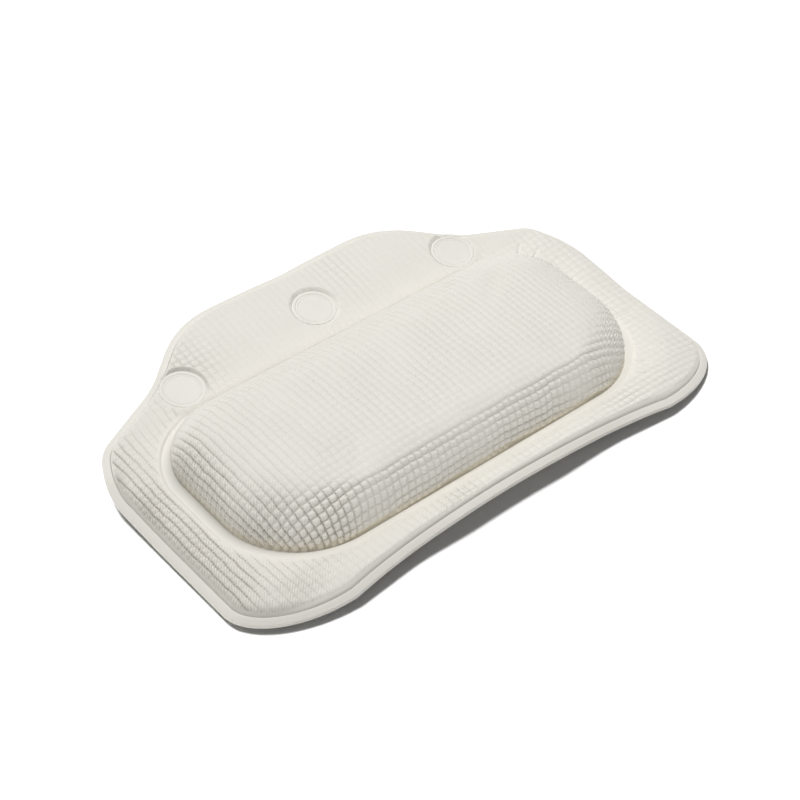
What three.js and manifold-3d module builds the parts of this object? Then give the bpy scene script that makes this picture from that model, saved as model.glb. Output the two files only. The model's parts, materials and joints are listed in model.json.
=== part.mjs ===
// Bath pillow: a thick embossed foam sheet is welded to a thin back sheet round a foam bolster core.
// Its upper part is a flap that folds back over the bath's rim along the crease above the bolster.
// Three suction cups stand behind the flap, each held by its flange under a round anchor disc.
// Millimetres. X runs along the pillow, Y towards the flap, Z up out of the front face.
import * as THREE from 'three';
import { mergeVertices } from 'three/addons/utils/BufferGeometryUtils.js';
import Module from 'manifold-3d';

const wasm = await Module();
wasm.setup();

// Bolster: plan sizes are measured from the middle of its length and from its own centre line.
const bolsterHalfLength = 133.5;
const bolsterFront = 61;
const bolsterBack = 62;
const frontCornerRadius = 50;
const backCornerRadius = 39;
const crownCornerRadius = 14;
const crownHeight = 28;
// Run of each wall from its foot to the crown, and the exponents of its superelliptic bulge.
const frontBulge = { run: 23, across: 4.2, up: 2.3 };
const backBulge = { run: 36, across: 1.5, up: 1.5 };
const endBulge = { run: 55, across: 3.2, up: 2.5 };

// Sheets: the foam is pressed thin at every weld. It comes up slowly from the channel round the bolster
// and ends in a steep edge at the rim.
const backSheet = 1.2;
const weldedFoam = 2;
const foamOverBolster = 5;
const borderRise = 3.9;
const borderRun = 19;
const flapRise = 3.6;
const flapRun = 28;
const foamCurve = 1.3;
const foamEdgeRun = 2.4;
const channelWidth = 5.5;
const rimWidth = 4.5;
const fitGap = 0.3;
const rounding = 0.01;

// Outline of the whole pillow.
const sideBorder = 21.5;
const frontBorder = 19.3;
const frontHollow = 9.1;
const frontCornerRun = 56;
const frontCornerRise = 36;
const shoulderDrop = 30;
const shoulderInset = 18;
const shoulderRise = 9.6;
const shoulderRound = 12;
const notchPastCup = 13;
const notchRise = 24.8;
const notchCurve = 11;
const flapInsideCup = 25;
const flapDepth = 56.8;
const flapCornerRun = 22.5;
const flapHollow = 1.4;

// Crease between the bolster and the flap, with the lean of each part and the droop of the ends.
const creaseOffset = 3.3;
const creaseGap = 1;
const bodyLean = 3;
const flapLean = 11;
const endDroop = 9;
const flatHalfLength = 84;

// Suction cups and the anchor discs in front of them.
const sideCupInset = 37.5;
const discCreaseGap = 1.5;
const middleCupLift = 8.6;
const discSeat = 1.9;
const discThickness = 1.75;
const discRingWidth = 1.2;
const discRingRise = 0.4;
const discStepRadius = 10;
const discStep = 0.15;
const discWeld = 1.4;
const dishLip = 2.1;
const dishRun = 4;
const flangeOverhang = 5.8;
const flangeThickness = 1.4;
const flangeClearance = 0.6;
const neckRadius = 4;
const neckClearance = 0.5;
const neckLength = 6.3;
const bellFlare = 12.5;
const bellDepth = 8.3;
const bellCurve = 1.3;
const cupWall = 2;
const lipWidth = 1.6;

// Facet counts.
const outlineSteps = 16;
const sideSteps = 2;
const cornerSteps = 5;
const edgeSteps = 10;
const wallSteps = 7;
const flapColumns = 28;
const roundSteps = 28;
const dishSteps = 4;
const bellSteps = 5;

const halfLength = bolsterHalfLength + channelWidth + sideBorder + rimWidth;
const frontReach = bolsterFront + channelWidth + frontBorder + rimWidth;
const crease = bolsterBack + creaseOffset;
const sideCupSpacing = bolsterHalfLength - sideCupInset;
const notchHalfWidth = sideCupSpacing + notchPastCup;
const flapHalfWidth = sideCupSpacing - flapInsideCup;
const bodyTop = crease - creaseGap / 2;
const flapFoot = crease + creaseGap / 2;
const foamFoot = backSheet + fitGap;
const weldTop = foamFoot + weldedFoam;
const foamTop = weldTop + Math.max(borderRise, flapRise);
const crownTop = weldTop + crownHeight;
const flangeRadius = neckRadius + flangeOverhang;
const flangeHoleRadius = flangeRadius + flangeClearance;
const discRadius = flangeHoleRadius + discSeat;
const cupRadius = neckRadius + bellFlare;
const cupHeight = neckLength + bellDepth;
const sideCupRise = discRadius + discCreaseGap;
const radians = THREE.MathUtils.degToRad;

// The ends of the pillow sag below its flat middle, as a parabola.
function droop(x) {
  const past = Math.max(0, Math.abs(x) - flatHalfLength);
  return -endDroop * (past / (halfLength - flatHalfLength)) ** 2;
}

// Rises from 0 at a weld's edge to 1 over the given run, steep at first like a swollen edge.
function swell(distance, run) {
  const t = THREE.MathUtils.clamp(distance / run, 0, 1);
  return Math.sqrt(1 - (1 - t) ** 2);
}

// Right half of the pillow's outline, from the front edge's middle round to the flap's top edge.
function rightOutline() {
  const cornerStart = halfLength - frontCornerRun;
  const sideStart = -frontReach + frontCornerRise;
  const sideEnd = crease - shoulderDrop;
  const path = new THREE.Path();
  path.moveTo(0, -frontReach + frontHollow);
  path.quadraticCurveTo(cornerStart / 2, -frontReach + frontHollow, cornerStart, -frontReach);
  path.absellipse(cornerStart, sideStart, frontCornerRun, frontCornerRise, -Math.PI / 2, 0, false);
  path.lineTo(halfLength, sideEnd);
  const shoulderTop = new THREE.Vector2(halfLength - shoulderInset, crease + shoulderRise);
  const notch = new THREE.Vector2(notchHalfWidth, crease + notchRise);
  const flapCorner = new THREE.Vector2(flapHalfWidth, crease + flapDepth);
  const slope = notch.clone().sub(shoulderTop).normalize();
  const shoulderPull = shoulderTop.clone().addScaledVector(slope, -shoulderRound);
  path.bezierCurveTo(halfLength, sideEnd + shoulderRound, shoulderPull.x, shoulderPull.y,
    shoulderTop.x, shoulderTop.y);
  const notchStart = notch.clone().addScaledVector(slope, -notchCurve);
  const flapSide = flapCorner.clone().sub(notch).normalize();
  const notchEnd = notch.clone().addScaledVector(flapSide, notchCurve);
  path.lineTo(notchStart.x, notchStart.y);
  path.quadraticCurveTo(notch.x, notch.y, notchEnd.x, notchEnd.y);
  const cornerFoot = flapCorner.clone().addScaledVector(flapSide, -flapCornerRun);
  path.lineTo(cornerFoot.x, cornerFoot.y);
  path.quadraticCurveTo(flapCorner.x, flapCorner.y, flapHalfWidth - flapCornerRun, flapCorner.y);
  path.quadraticCurveTo(flapHalfWidth / 3, flapCorner.y, 0, flapCorner.y - flapHollow);
  return path.getPoints(outlineSteps);
}

const rightEdge = rightOutline();
const leftEdge = rightEdge.slice(1, -1).reverse().map((p) => new THREE.Vector2(-p.x, p.y));
const outline = [...rightEdge, ...leftEdge];

// Points along a polyline at equal steps of its length.
function resample(points, steps) {
  const walked = [0];
  for (let i = 1; i < points.length; i += 1) {
    walked.push(walked[i - 1] + points[i].distanceTo(points[i - 1]));
  }
  const result = [];
  for (let k = 0; k <= steps; k += 1) {
    const target = walked.at(-1) * k / steps;
    const i = Math.min(Math.max(walked.findIndex((w) => w >= target), 1), points.length - 1);
    const share = (target - walked[i - 1]) / (walked[i] - walked[i - 1]);
    result.push(points[i - 1].clone().lerp(points[i], share));
  }
  return result;
}

// Least distance from a plan point to the pillow's edge.
function edgeDistance(x, y) {
  const point = new THREE.Vector3(x, y, 0);
  const near = new THREE.Vector3();
  let least = Infinity;
  outline.forEach((a, i) => {
    const b = outline[(i + 1) % outline.length];
    const line = new THREE.Line3(new THREE.Vector3(a.x, a.y, 0), new THREE.Vector3(b.x, b.y, 0));
    line.closestPointToPoint(point, true, near);
    least = Math.min(least, near.distanceTo(point));
  });
  return least;
}

// Distance from a plan point outside the bolster to the bolster's foot, a rounded rectangle.
function bolsterDistance(x, y) {
  const radius = y < 0 ? frontCornerRadius : backCornerRadius;
  const reach = y < 0 ? bolsterFront : bolsterBack;
  const dx = Math.abs(x) - bolsterHalfLength + radius;
  const dy = Math.abs(y) - reach + radius;
  return Math.hypot(Math.max(dx, 0), Math.max(dy, 0)) + Math.min(Math.max(dx, dy), 0) - radius;
}

// Height of the foam over the weld level: it grows with the way from the channel and drops at the rim.
function foamHeight(x, y) {
  const [rise, run] = y > crease ? [flapRise, flapRun] : [borderRise, borderRun];
  const fromRim = swell(edgeDistance(x, y) - rimWidth, foamEdgeRun);
  const t = THREE.MathUtils.clamp((bolsterDistance(x, y) - channelWidth) / run, 0, 1);
  return rise * fromRim * (1 - (1 - t) ** foamCurve);
}

// Closed ring of plan points, anticlockwise from the middle of the left side, with the outward
// direction at each: four straight sides and four rounded corners of a rounded rectangle.
function roundedRing(halfX, front, back, frontRadius, backRadius) {
  const ring = [];
  const sideMiddle = ((frontRadius - front) + (back - backRadius)) / 2;
  const straight = (ax, ay, bx, by, steps, nx, ny) => {
    for (let k = 0; k < steps; k += 1) {
      const t = k / steps;
      ring.push({ x: ax + (bx - ax) * t, y: ay + (by - ay) * t, nx, ny });
    }
  };
  const corner = (cx, cy, radius, start) => {
    for (let k = 0; k < cornerSteps; k += 1) {
      const angle = start + Math.PI / 2 * k / cornerSteps;
      const nx = Math.cos(angle);
      const ny = Math.sin(angle);
      ring.push({ x: cx + radius * nx, y: cy + radius * ny, nx, ny });
    }
  };
  const frontX = halfX - frontRadius;
  const backX = halfX - backRadius;
  straight(-halfX, sideMiddle, -halfX, frontRadius - front, sideSteps, -1, 0);
  corner(-frontX, frontRadius - front, frontRadius, Math.PI);
  straight(-frontX, -front, frontX, -front, edgeSteps, 0, -1);
  corner(frontX, frontRadius - front, frontRadius, -Math.PI / 2);
  straight(halfX, frontRadius - front, halfX, sideMiddle, sideSteps, 1, 0);
  straight(halfX, sideMiddle, halfX, back - backRadius, sideSteps, 1, 0);
  corner(backX, back - backRadius, backRadius, 0);
  straight(backX, back, -backX, back, edgeSteps, 0, 1);
  corner(-backX, back - backRadius, backRadius, Math.PI / 2);
  straight(-halfX, back - backRadius, -halfX, sideMiddle, sideSteps, -1, 0);
  return ring;
}

// One side of the bulge at t from 0 at the foot to 1 at the crown: how far in, and how high.
function bulgeAt(side, t, height) {
  const angle = t * Math.PI / 2;
  return {
    inset: side.run * (1 - Math.max(Math.cos(angle), 0) ** (2 / side.across)),
    height: height * Math.sin(angle) ** (2 / side.up),
  };
}

// A corner's plan radius shrinks from the foot to the crown as its wall leans in.
function radiusAt(footRadius, skin, inset, run) {
  return THREE.MathUtils.lerp(footRadius, crownCornerRadius, (skin + inset) / (skin + run));
}

// Rings up the bolster's wall. skin is how far the surface lies inside the outer one.
function domeRings(skin, foot, crown) {
  const rings = [];
  for (let k = 0; k <= wallSteps; k += 1) {
    const t = k / wallSteps;
    const front = bulgeAt(frontBulge, t, crown - foot);
    const back = bulgeAt(backBulge, t, crown - foot);
    const end = bulgeAt(endBulge, t, crown - foot);
    const frontRadius = radiusAt(frontCornerRadius, skin, front.inset, frontBulge.run);
    const backRadius = radiusAt(backCornerRadius, skin, back.inset, backBulge.run);
    const ring = roundedRing(bolsterHalfLength - skin - end.inset, bolsterFront - skin - front.inset,
      bolsterBack - skin - back.inset, frontRadius, backRadius);
    rings.push(ring.map((p) => {
      const alongEnd = p.nx * p.nx;
      const side = p.ny < 0 ? front : back;
      const height = end.height * alongEnd + side.height * (1 - alongEnd);
      return new THREE.Vector3(p.x, p.y, foot + height + droop(p.x));
    }));
  }
  return rings;
}

// Edge of the part below the crease, point for point with the bolster's foot.
function bodyEdge() {
  const right = rightEdge.filter((p) => p.y < bodyTop);
  const cornerAt = right.findIndex((p) => p.y <= -frontReach + rounding);
  const sideAt = right.findIndex((p) => p.x >= halfLength - rounding);
  const shoulderAt = right.findIndex((p) => p.y >= crease - shoulderDrop - rounding);
  const tip = right.at(-1).clone().setY(bodyTop);
  const backStart = new THREE.Vector2(bolsterHalfLength - backCornerRadius, bodyTop);
  const backMiddle = new THREE.Vector2(0, bodyTop);
  const half = [
    resample(right.slice(0, cornerAt + 1), edgeSteps / 2),
    resample(right.slice(cornerAt, sideAt + 1), cornerSteps),
    resample(right.slice(sideAt, shoulderAt + 1), sideSteps * 2),
    resample([...right.slice(shoulderAt), tip, backStart], cornerSteps),
    resample([backStart, backMiddle], edgeSteps / 2),
  ].flatMap((points) => points.slice(0, -1));
  const mirror = half.slice(1).reverse().map((p) => new THREE.Vector2(-p.x, p.y));
  const ring = [...half, backMiddle, ...mirror];
  const first = half.length * 2 - edgeSteps / 2 - cornerSteps - sideSteps;
  return [...ring.slice(first), ...ring.slice(0, first)];
}

const edgeRing = bodyEdge();
const footRing = roundedRing(bolsterHalfLength, bolsterFront, bolsterBack, frontCornerRadius, backCornerRadius);

// Ring between the bolster's foot and the edge, where share is 0 at the foot and 1 at the edge.
function betweenRing(shareAt, heightAt) {
  return edgeRing.map((edge, i) => {
    const foot = footRing[i];
    const width = Math.hypot(edge.x - foot.x, edge.y - foot.y);
    const share = shareAt(width);
    const x = foot.x + (edge.x - foot.x) * share;
    const y = foot.y + (edge.y - foot.y) * share;
    return new THREE.Vector3(x, y, heightAt(x, y) + droop(x));
  });
}

// Share of the width at a place in the border, from 0 at the channel to 1 at the rim; where the
// border is missing, along the crease, the rings just share out the narrow weld.
function borderShare(place) {
  return (width) => {
    const open = width - channelWidth - rimWidth;
    const even = (channelWidth + place * sideBorder) / (channelWidth + sideBorder + rimWidth);
    const real = (channelWidth + place * open) / width;
    return THREE.MathUtils.lerp(even, real, THREE.MathUtils.smoothstep(open, 0, rimWidth));
  };
}

// Closed solid from a stack of rings: the top's rings run inwards from the edge, and so do the bottom's.
function ringSolid(top, bottom) {
  const count = top[0].length;
  const rings = [...top, ...bottom];
  const positions = rings.flat().flatMap((p) => [p.x, p.y, p.z]);
  const index = [];
  const band = (outer, inner, flip) => {
    for (let i = 0; i < count; i += 1) {
      const j = (i + 1) % count;
      const faces = [outer + i, outer + j, inner + j, outer + i, inner + j, inner + i];
      index.push(...(flip ? faces.reverse() : faces));
    }
  };
  const fill = (start, flip) => {
    const faces = [];
    for (let k = 0; k < count / 2; k += 1) {
      const far = count - k - 1;
      if (k > 0) faces.push([k, far, (far + 1) % count]);
      if (k + 1 < far) faces.push([k, k + 1, far]);
    }
    faces.forEach((face) => {
      const turned = flip ? [...face].reverse() : face;
      index.push(...turned.map((i) => start + i));
    });
  };
  for (let k = 0; k + 1 < top.length; k += 1) band(k * count, (k + 1) * count, false);
  fill((top.length - 1) * count, false);
  const base = top.length * count;
  band(base, 0, false);
  for (let k = 0; k + 1 < bottom.length; k += 1) band(base + k * count, base + (k + 1) * count, true);
  fill(base + (bottom.length - 1) * count, true);
  return geometryFrom(positions, index);
}

// Closed solid between two grids of points with the same rows and columns.
function gridSolid(top, bottom) {
  const columns = top.length;
  const rows = top[0].length;
  const positions = [...top.flat(), ...bottom.flat()].flatMap((p) => [p.x, p.y, p.z]);
  const index = [];
  const at = (layer, i, j) => layer * columns * rows + i * rows + j;
  const quad = (a, b, c, d) => index.push(a, b, c, a, c, d);
  for (let i = 0; i + 1 < columns; i += 1) {
    for (let j = 0; j + 1 < rows; j += 1) {
      quad(at(0, i, j), at(0, i + 1, j), at(0, i + 1, j + 1), at(0, i, j + 1));
      quad(at(1, i, j), at(1, i, j + 1), at(1, i + 1, j + 1), at(1, i + 1, j));
    }
    quad(at(1, i, 0), at(1, i + 1, 0), at(0, i + 1, 0), at(0, i, 0));
    quad(at(0, i, rows - 1), at(0, i + 1, rows - 1), at(1, i + 1, rows - 1), at(1, i, rows - 1));
  }
  for (let j = 0; j + 1 < rows; j += 1) {
    quad(at(0, 0, j), at(0, 0, j + 1), at(1, 0, j + 1), at(1, 0, j));
    quad(at(1, columns - 1, j), at(1, columns - 1, j + 1), at(0, columns - 1, j + 1), at(0, columns - 1, j));
  }
  return geometryFrom(positions, index);
}

function geometryFrom(positions, index) {
  const geometry = new THREE.BufferGeometry();
  geometry.setAttribute('position', new THREE.Float32BufferAttribute(positions, 3));
  geometry.setIndex(index);
  geometry.computeVertexNormals();
  return geometry;
}

// Body of revolution about Z from a profile of radius and height.
function turned(profile) {
  const points = profile.map(([radius, height]) => new THREE.Vector2(radius, height));
  const geometry = new THREE.LatheGeometry(points, roundSteps);
  geometry.rotateX(Math.PI / 2);
  geometry.deleteAttribute('normal');
  geometry.deleteAttribute('uv');
  const merged = mergeVertices(geometry, 1e-5);
  merged.computeVertexNormals();
  return merged;
}

function solidOf(geometry) {
  const plain = geometry.clone();
  plain.deleteAttribute('normal');
  return new wasm.Manifold(new wasm.Mesh({
    numProp: 3,
    vertProperties: Float32Array.from(plain.attributes.position.array),
    triVerts: Uint32Array.from(plain.index.array),
  }));
}

function geometryOf(solid) {
  const mesh = solid.getMesh();
  return geometryFrom(Array.from(mesh.vertProperties), Array.from(mesh.triVerts));
}

const embossedFoam = { color: 0xe6e3da, roughness: 0.62, metalness: 0 };
const backVinyl = { color: 0xdedbd2, roughness: 0.5, metalness: 0 };
const coreFoam = { color: 0xf0e9c8, roughness: 0.9, metalness: 0 };
const discVinyl = { color: 0xe9e6de, roughness: 0.42, metalness: 0 };
const clearVinyl = { color: 0xd9dcd8, roughness: 0.2, metalness: 0 };

function addPiece(group, name, geometry, look) {
  const mesh = new THREE.Mesh(geometry, new THREE.MeshStandardMaterial(look));
  mesh.name = name;
  group.add(mesh);
  return mesh;
}

// The body and the flap each stand in a group that turns about the crease.
const body = new THREE.Group();
const flap = new THREE.Group();
body.rotation.x = radians(bodyLean);
flap.rotation.x = radians(flapLean);
const bodyPlan = new THREE.Group();
const flapPlan = new THREE.Group();
bodyPlan.position.y = -crease;
flapPlan.position.y = -crease;
body.add(bodyPlan);
flap.add(flapPlan);

// Foam sheet over the border and the bolster, hollow below where the core fills it.
const weldAt = () => weldTop;
const foamAt = (x, y) => weldTop + foamHeight(x, y);
const footAt = () => foamFoot;
const frontTop = [
  betweenRing(() => 1, weldAt),
  betweenRing(borderShare(1), weldAt),
  betweenRing(borderShare(0.9), foamAt),
  betweenRing(borderShare(0.72), foamAt),
  betweenRing(borderShare(0.36), foamAt),
  betweenRing(borderShare(0.14), foamAt),
  betweenRing(borderShare(0), weldAt),
  ...domeRings(0, weldTop, crownTop),
];
const cavity = domeRings(foamOverBolster, foamFoot, crownTop - foamOverBolster);
const frontUnder = [betweenRing(() => 1, footAt), betweenRing(() => 0, footAt), ...cavity];
addPiece(bodyPlan, 'front_cover_body', ringSolid(frontTop, frontUnder), embossedFoam);

const core = domeRings(foamOverBolster + fitGap, foamFoot, crownTop - foamOverBolster - fitGap);
addPiece(bodyPlan, 'bolster_core', ringSolid(core.slice(1), [core[0]]), coreFoam);

const backTop = [betweenRing(() => 1, () => backSheet), betweenRing(() => 0, () => backSheet)];
const backUnder = [betweenRing(() => 1, () => 0), betweenRing(() => 0, () => 0)];
addPiece(bodyPlan, 'back_cover_body', ringSolid(backTop, backUnder), backVinyl);

// Flap: columns run from the crease to the flap's top edge, and rows across them.
const flapRight = rightEdge.filter((p) => p.y > flapFoot + creaseGap);
const flapEdge = resample([...flapRight, ...flapRight.slice(0, -1).reverse()
  .map((p) => new THREE.Vector2(-p.x, p.y))], flapColumns);
const flapRows = [0, 0.07, 0.15, 0.26, 0.45, 0.65, 0.8, 0.87, 0.92, 1];
function flapGrid(heightAt) {
  return flapEdge.map((top, i) => {
    const start = new THREE.Vector2(flapEdge[0].x * (1 - 2 * i / flapColumns), flapFoot);
    return flapRows.map((share) => {
      const p = start.clone().lerp(top, share);
      return new THREE.Vector3(p.x, p.y, heightAt(p.x, p.y) + droop(p.x));
    });
  }).reverse();
}

const cups = [
  { side: 'left', x: -sideCupSpacing, y: crease + sideCupRise },
  { side: 'middle', x: 0, y: crease + sideCupRise + middleCupLift },
  { side: 'right', x: sideCupSpacing, y: crease + sideCupRise },
];

// Round dish in the foam: flat at the weld under the disc, a step up to its lip, then up to the full foam.
const dishFoot = foamFoot + discWeld;
const dishRadius = discRadius + fitGap;
const dishProfile = [[0, dishFoot], [dishRadius, dishFoot]];
for (let k = 0; k <= dishSteps; k += 1) {
  const t = k / dishSteps;
  const rise = dishLip + (foamTop - dishFoot - dishLip) * Math.sin(t * Math.PI / 2);
  dishProfile.push([dishRadius + dishRun * t, dishFoot + rise]);
}
dishProfile.push([dishRadius + dishRun, crownTop], [0, crownTop]);

function drill(radius) {
  return [[0, -crownTop], [radius, -crownTop], [radius, crownTop], [0, crownTop]];
}

function cutAtCups(geometry, profiles) {
  let solid = solidOf(geometry);
  cups.forEach((cup) => {
    profiles.forEach((profile) => {
      solid = solid.subtract(solidOf(turned(profile).translate(cup.x, cup.y, 0)));
    });
  });
  return geometryOf(solid);
}

const flapFoam = gridSolid(flapGrid(foamAt), flapGrid(footAt));
addPiece(flapPlan, 'front_cover_flap', cutAtCups(flapFoam, [dishProfile, drill(flangeHoleRadius)]), embossedFoam);
const flapBack = gridSolid(flapGrid(() => backSheet), flapGrid(() => 0));
addPiece(flapPlan, 'back_cover_flap', cutAtCups(flapBack, [drill(neckRadius + neckClearance)]), backVinyl);

// Anchor disc: a flat round patch with a raised ring, over the flange of the cup behind it.
const discFoot = dishFoot + fitGap;
const discTop = discFoot + discThickness;
const discProfile = [
  [0, discFoot],
  [discRadius, discFoot],
  [discRadius, discTop + discRingRise * 0.5],
  [discRadius - discRingWidth * 0.3, discTop + discRingRise],
  [discRadius - discRingWidth * 0.7, discTop + discRingRise],
  [discRadius - discRingWidth, discTop],
  [discStepRadius, discTop],
  [discStepRadius - discStep, discTop - discStep],
  [0, discTop - discStep],
];

// Suction cup: flange between the sheets, neck through the back sheet, bell and flat lip behind.
const flangeFoot = backSheet + fitGap;
const flangeTop = flangeFoot + flangeThickness;
const cupProfile = [[0, -neckLength - cupWall]];
for (let k = 1; k <= bellSteps; k += 1) {
  const angle = k / bellSteps * Math.PI / 2;
  cupProfile.push([(cupRadius - lipWidth) * Math.sin(angle),
    -cupHeight + (bellDepth - cupWall) * Math.cos(angle)]);
}
for (let k = bellSteps; k >= 0; k -= 1) {
  const angle = k / bellSteps * Math.PI / 2;
  cupProfile.push([neckRadius + bellFlare * Math.sin(angle) ** bellCurve,
    -cupHeight + bellDepth * Math.cos(angle)]);
}
cupProfile.push([neckRadius, flangeFoot], [flangeRadius, flangeFoot], [flangeRadius, flangeTop], [0, flangeTop]);

cups.forEach((cup) => {
  addPiece(flapPlan, `anchor_disc_${cup.side}`, turned(discProfile).translate(cup.x, cup.y, 0), discVinyl);
  addPiece(flapPlan, `suction_cup_${cup.side}`, turned(cupProfile).translate(cup.x, cup.y, 0), clearVinyl);
});

// The pillow lies face up on its ends and its cups, with the origin under the middle of its box.
const pillow = new THREE.Group();
pillow.add(body, flap);
pillow.updateMatrixWorld(true);
const box = new THREE.Box3().setFromObject(pillow, true);
const middle = box.getCenter(new THREE.Vector3());
pillow.position.set(-middle.x, -middle.y, -box.min.z);
pillow.updateMatrixWorld(true);

export default pillow;
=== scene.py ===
import json
import math
import bpy
import numpy as np
from mathutils import Matrix

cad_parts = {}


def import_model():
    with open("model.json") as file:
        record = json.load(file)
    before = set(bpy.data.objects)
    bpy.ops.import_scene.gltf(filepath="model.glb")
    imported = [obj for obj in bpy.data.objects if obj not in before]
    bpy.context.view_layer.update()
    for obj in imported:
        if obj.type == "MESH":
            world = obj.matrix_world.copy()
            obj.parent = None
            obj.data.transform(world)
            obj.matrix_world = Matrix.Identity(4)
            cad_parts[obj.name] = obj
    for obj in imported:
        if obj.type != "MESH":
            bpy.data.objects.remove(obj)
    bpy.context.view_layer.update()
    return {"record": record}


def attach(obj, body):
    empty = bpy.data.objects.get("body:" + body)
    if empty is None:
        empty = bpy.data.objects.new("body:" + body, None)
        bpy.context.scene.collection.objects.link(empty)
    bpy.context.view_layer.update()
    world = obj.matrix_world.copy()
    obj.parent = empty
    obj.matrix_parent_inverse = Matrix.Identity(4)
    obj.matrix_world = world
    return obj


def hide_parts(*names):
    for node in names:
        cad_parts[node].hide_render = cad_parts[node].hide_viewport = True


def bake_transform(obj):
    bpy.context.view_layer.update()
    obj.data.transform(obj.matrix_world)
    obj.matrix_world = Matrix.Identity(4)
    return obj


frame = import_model()
scene = bpy.context.scene
scene.view_settings.view_transform = "Standard"

# Bath pillow. Shapes are worked out flat, in millimetres, on the pillow's own plan:
# x along it, y towards the flap, z up from the back sheet's underside. place() then bends the plan
# along the crease, lets the ends droop and gives metres in the CAD's frame.
# A pair of numbers that is named as a zone is where it starts and the run after which it is full.

pad = {
    "halfLength": 165.0, "frontReach": 90.3, "frontHollow": 9.1,  # outline, front half
    "cornerRun": 56.0, "cornerRise": 36.0,
    "shoulderDrop": 30.0, "shoulderInset": 18.0, "shoulderRise": 9.6, "shoulderRound": 12.0,
    "notchHalfWidth": 109.0, "notchRise": 24.8, "notchCurve": 11.0,  # outline, flap
    "flapHalfWidth": 71.0, "flapDepth": 56.8, "flapCornerRun": 22.5, "flapHollow": 1.4,
    "crease": 65.3, "bodyLean": 3.0, "flapLean": 11.0, "creaseSoft": 4.0,
    "foldBehind": 8.0,  # fold's axis, behind the back sheet
    "endDroop": 9.0, "flatHalfLength": 84.0,  # ends sag, two corners curl up
    "curlFrontLeft": 4.2, "curlBackRight": 7.0, "curlStart": 100.0, "curlFrontRun": 90, "curlBackRun": 70,
    "frontSag": 3.0, "sagStart": 25.0, "sagRun": 50.0, "sagDrawX": 0.7, "sagDrawY": 0.88,
    "rightEndIn": 3.0, "endInZone": (40, 80), "endOutZone": (140, 22),
    "endFrontZone": (55, 20), "endBackZone": (45, 15),
    "backSheet": 1.2, "foamFoot": 1.5, "weldTop": 3.5, "rise": 3.9,  # levels of the sheets
    "rim": 4.5, "rimRun": 2.8, "leftRimRun": 9.0, "leftRimZone": (130, 20), "rimFall": 1.2,
    "sideChannel": 6.4, "frontChannel": 4.0, "backChannel": 2.4,
    "channelRun": 19.0, "channelStep": 0.28, "stepRun": 1.0, "slowPower": 1.3,
    "flapRise": 3.6, "flapRun": 28.0, "flapZone": (52, 16),
    "rimLine": 0.5, "rimLineWidth": 0.2,  # lines pressed in at the welds
    "footLine": 0.8, "footLineAt": 0.2, "footLineWidth": 0.35, "footFrontZone": (0.3, 0.6),
}
bolster = {
    "halfLength": 133.5, "front": 61.0, "back": 62.0, "frontCorner": 50.0, "backCorner": 39.0,
    "crownCorner": 14.0, "height": 28.0, "crownRise": 0.8,
    "pinch": 0.9, "endPinch": 0.4, "pinchTop": 9, "pinchFull": 20, "wallSamples": 3000,
    # walls: run, exponent across, exponent upward
    "frontWall": (23.0, 4.2, 2.3), "backWall": (36.0, 1.5, 1.5), "endWall": (55.0, 3.2, 2.5),
    "foam": 5.0, "gap": 0.3, "hollowRings": (10, 4), "coreRings": (12, 6), "coreFloorRings": (3, 4),
    "pressedFlat": 1e-3,  # height of rings that lie flat
}
stations = {"side": 26, "corner": 150, "edge": 300}  # points round the bolster's foot
outlineSteps = {"front": 40, "corner": 40, "side": 20, "shoulder": 30, "slope": 16, "notch": 24,
                "flapSide": 8, "flapCorner": 30, "top": 30}

foldJoint = next(j for j in frame["record"]["behaviour"]["joints"] if j["name"] == "flap_fold")
foldPoint = np.array(foldJoint["pos_m"]) * 1000
creaseY, creaseZ = foldPoint[1], foldPoint[2] + pad["foldBehind"]
cupPlan = {"left": (-96.0, 79.1), "middle": (0.0, 87.7), "right": (96.0, 79.1)}
hollowLift = pad["weldTop"] - pad["foamFoot"]  # the hollow's foot lies under the welds' top


def ease(t):
    # smooth step from 0 to 1
    t = np.clip(t, 0, 1)
    return t * t * (3 - 2 * t)


def ramp(value, zone):
    # smooth step from 0 where the zone starts to 1 after its run
    return ease((value - zone[0]) / zone[1])


def bell(value, width):
    # bell curve, 1 at nought
    return np.exp(-(value / width) ** 2)


def swell(distance, run):
    # quarter circle from 0 at a weld's edge to 1 after the run
    t = np.clip(distance / run, 0, 1)
    return np.sqrt(1 - (1 - t) ** 2)


def lay(x, y):
    # parabola down at both ends, and two corners that curl up as the square of the way out
    past = np.clip(np.abs(x) - pad["flatHalfLength"], 0, None) / (pad["halfLength"] - pad["flatHalfLength"])
    reach = pad["halfLength"] - pad["curlStart"]
    left = np.clip((-x - pad["curlStart"]) / reach, 0, 1) ** 2
    right = np.clip((x - pad["curlStart"]) / reach, 0, 1) ** 2
    front = pad["curlFrontLeft"] * left * np.clip(-y / pad["curlFrontRun"], 0, 1)
    back = pad["curlBackRight"] * right * np.clip(y / pad["curlBackRun"], 0, 1)
    return front + back - pad["endDroop"] * past ** 2


# Lean of the plan along y: one angle below the crease, another above, eased across it. The bent
# plan's own line is the running sum of that angle's cosine and sine.
bendRange, bendStep = (-200.0, 90.0), 0.05
bendAt = np.arange(*bendRange, bendStep)
bendShare = ease((bendAt + pad["creaseSoft"]) / (2 * pad["creaseSoft"]))
leanAt = math.radians(pad["bodyLean"]) + math.radians(pad["flapLean"] - pad["bodyLean"]) * bendShare
bendY = np.cumsum(np.cos(leanAt)) * bendStep
bendZ = np.cumsum(np.sin(leanAt)) * bendStep
bendY -= np.interp(0, bendAt, bendY)
bendZ -= np.interp(0, bendAt, bendZ)


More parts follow.
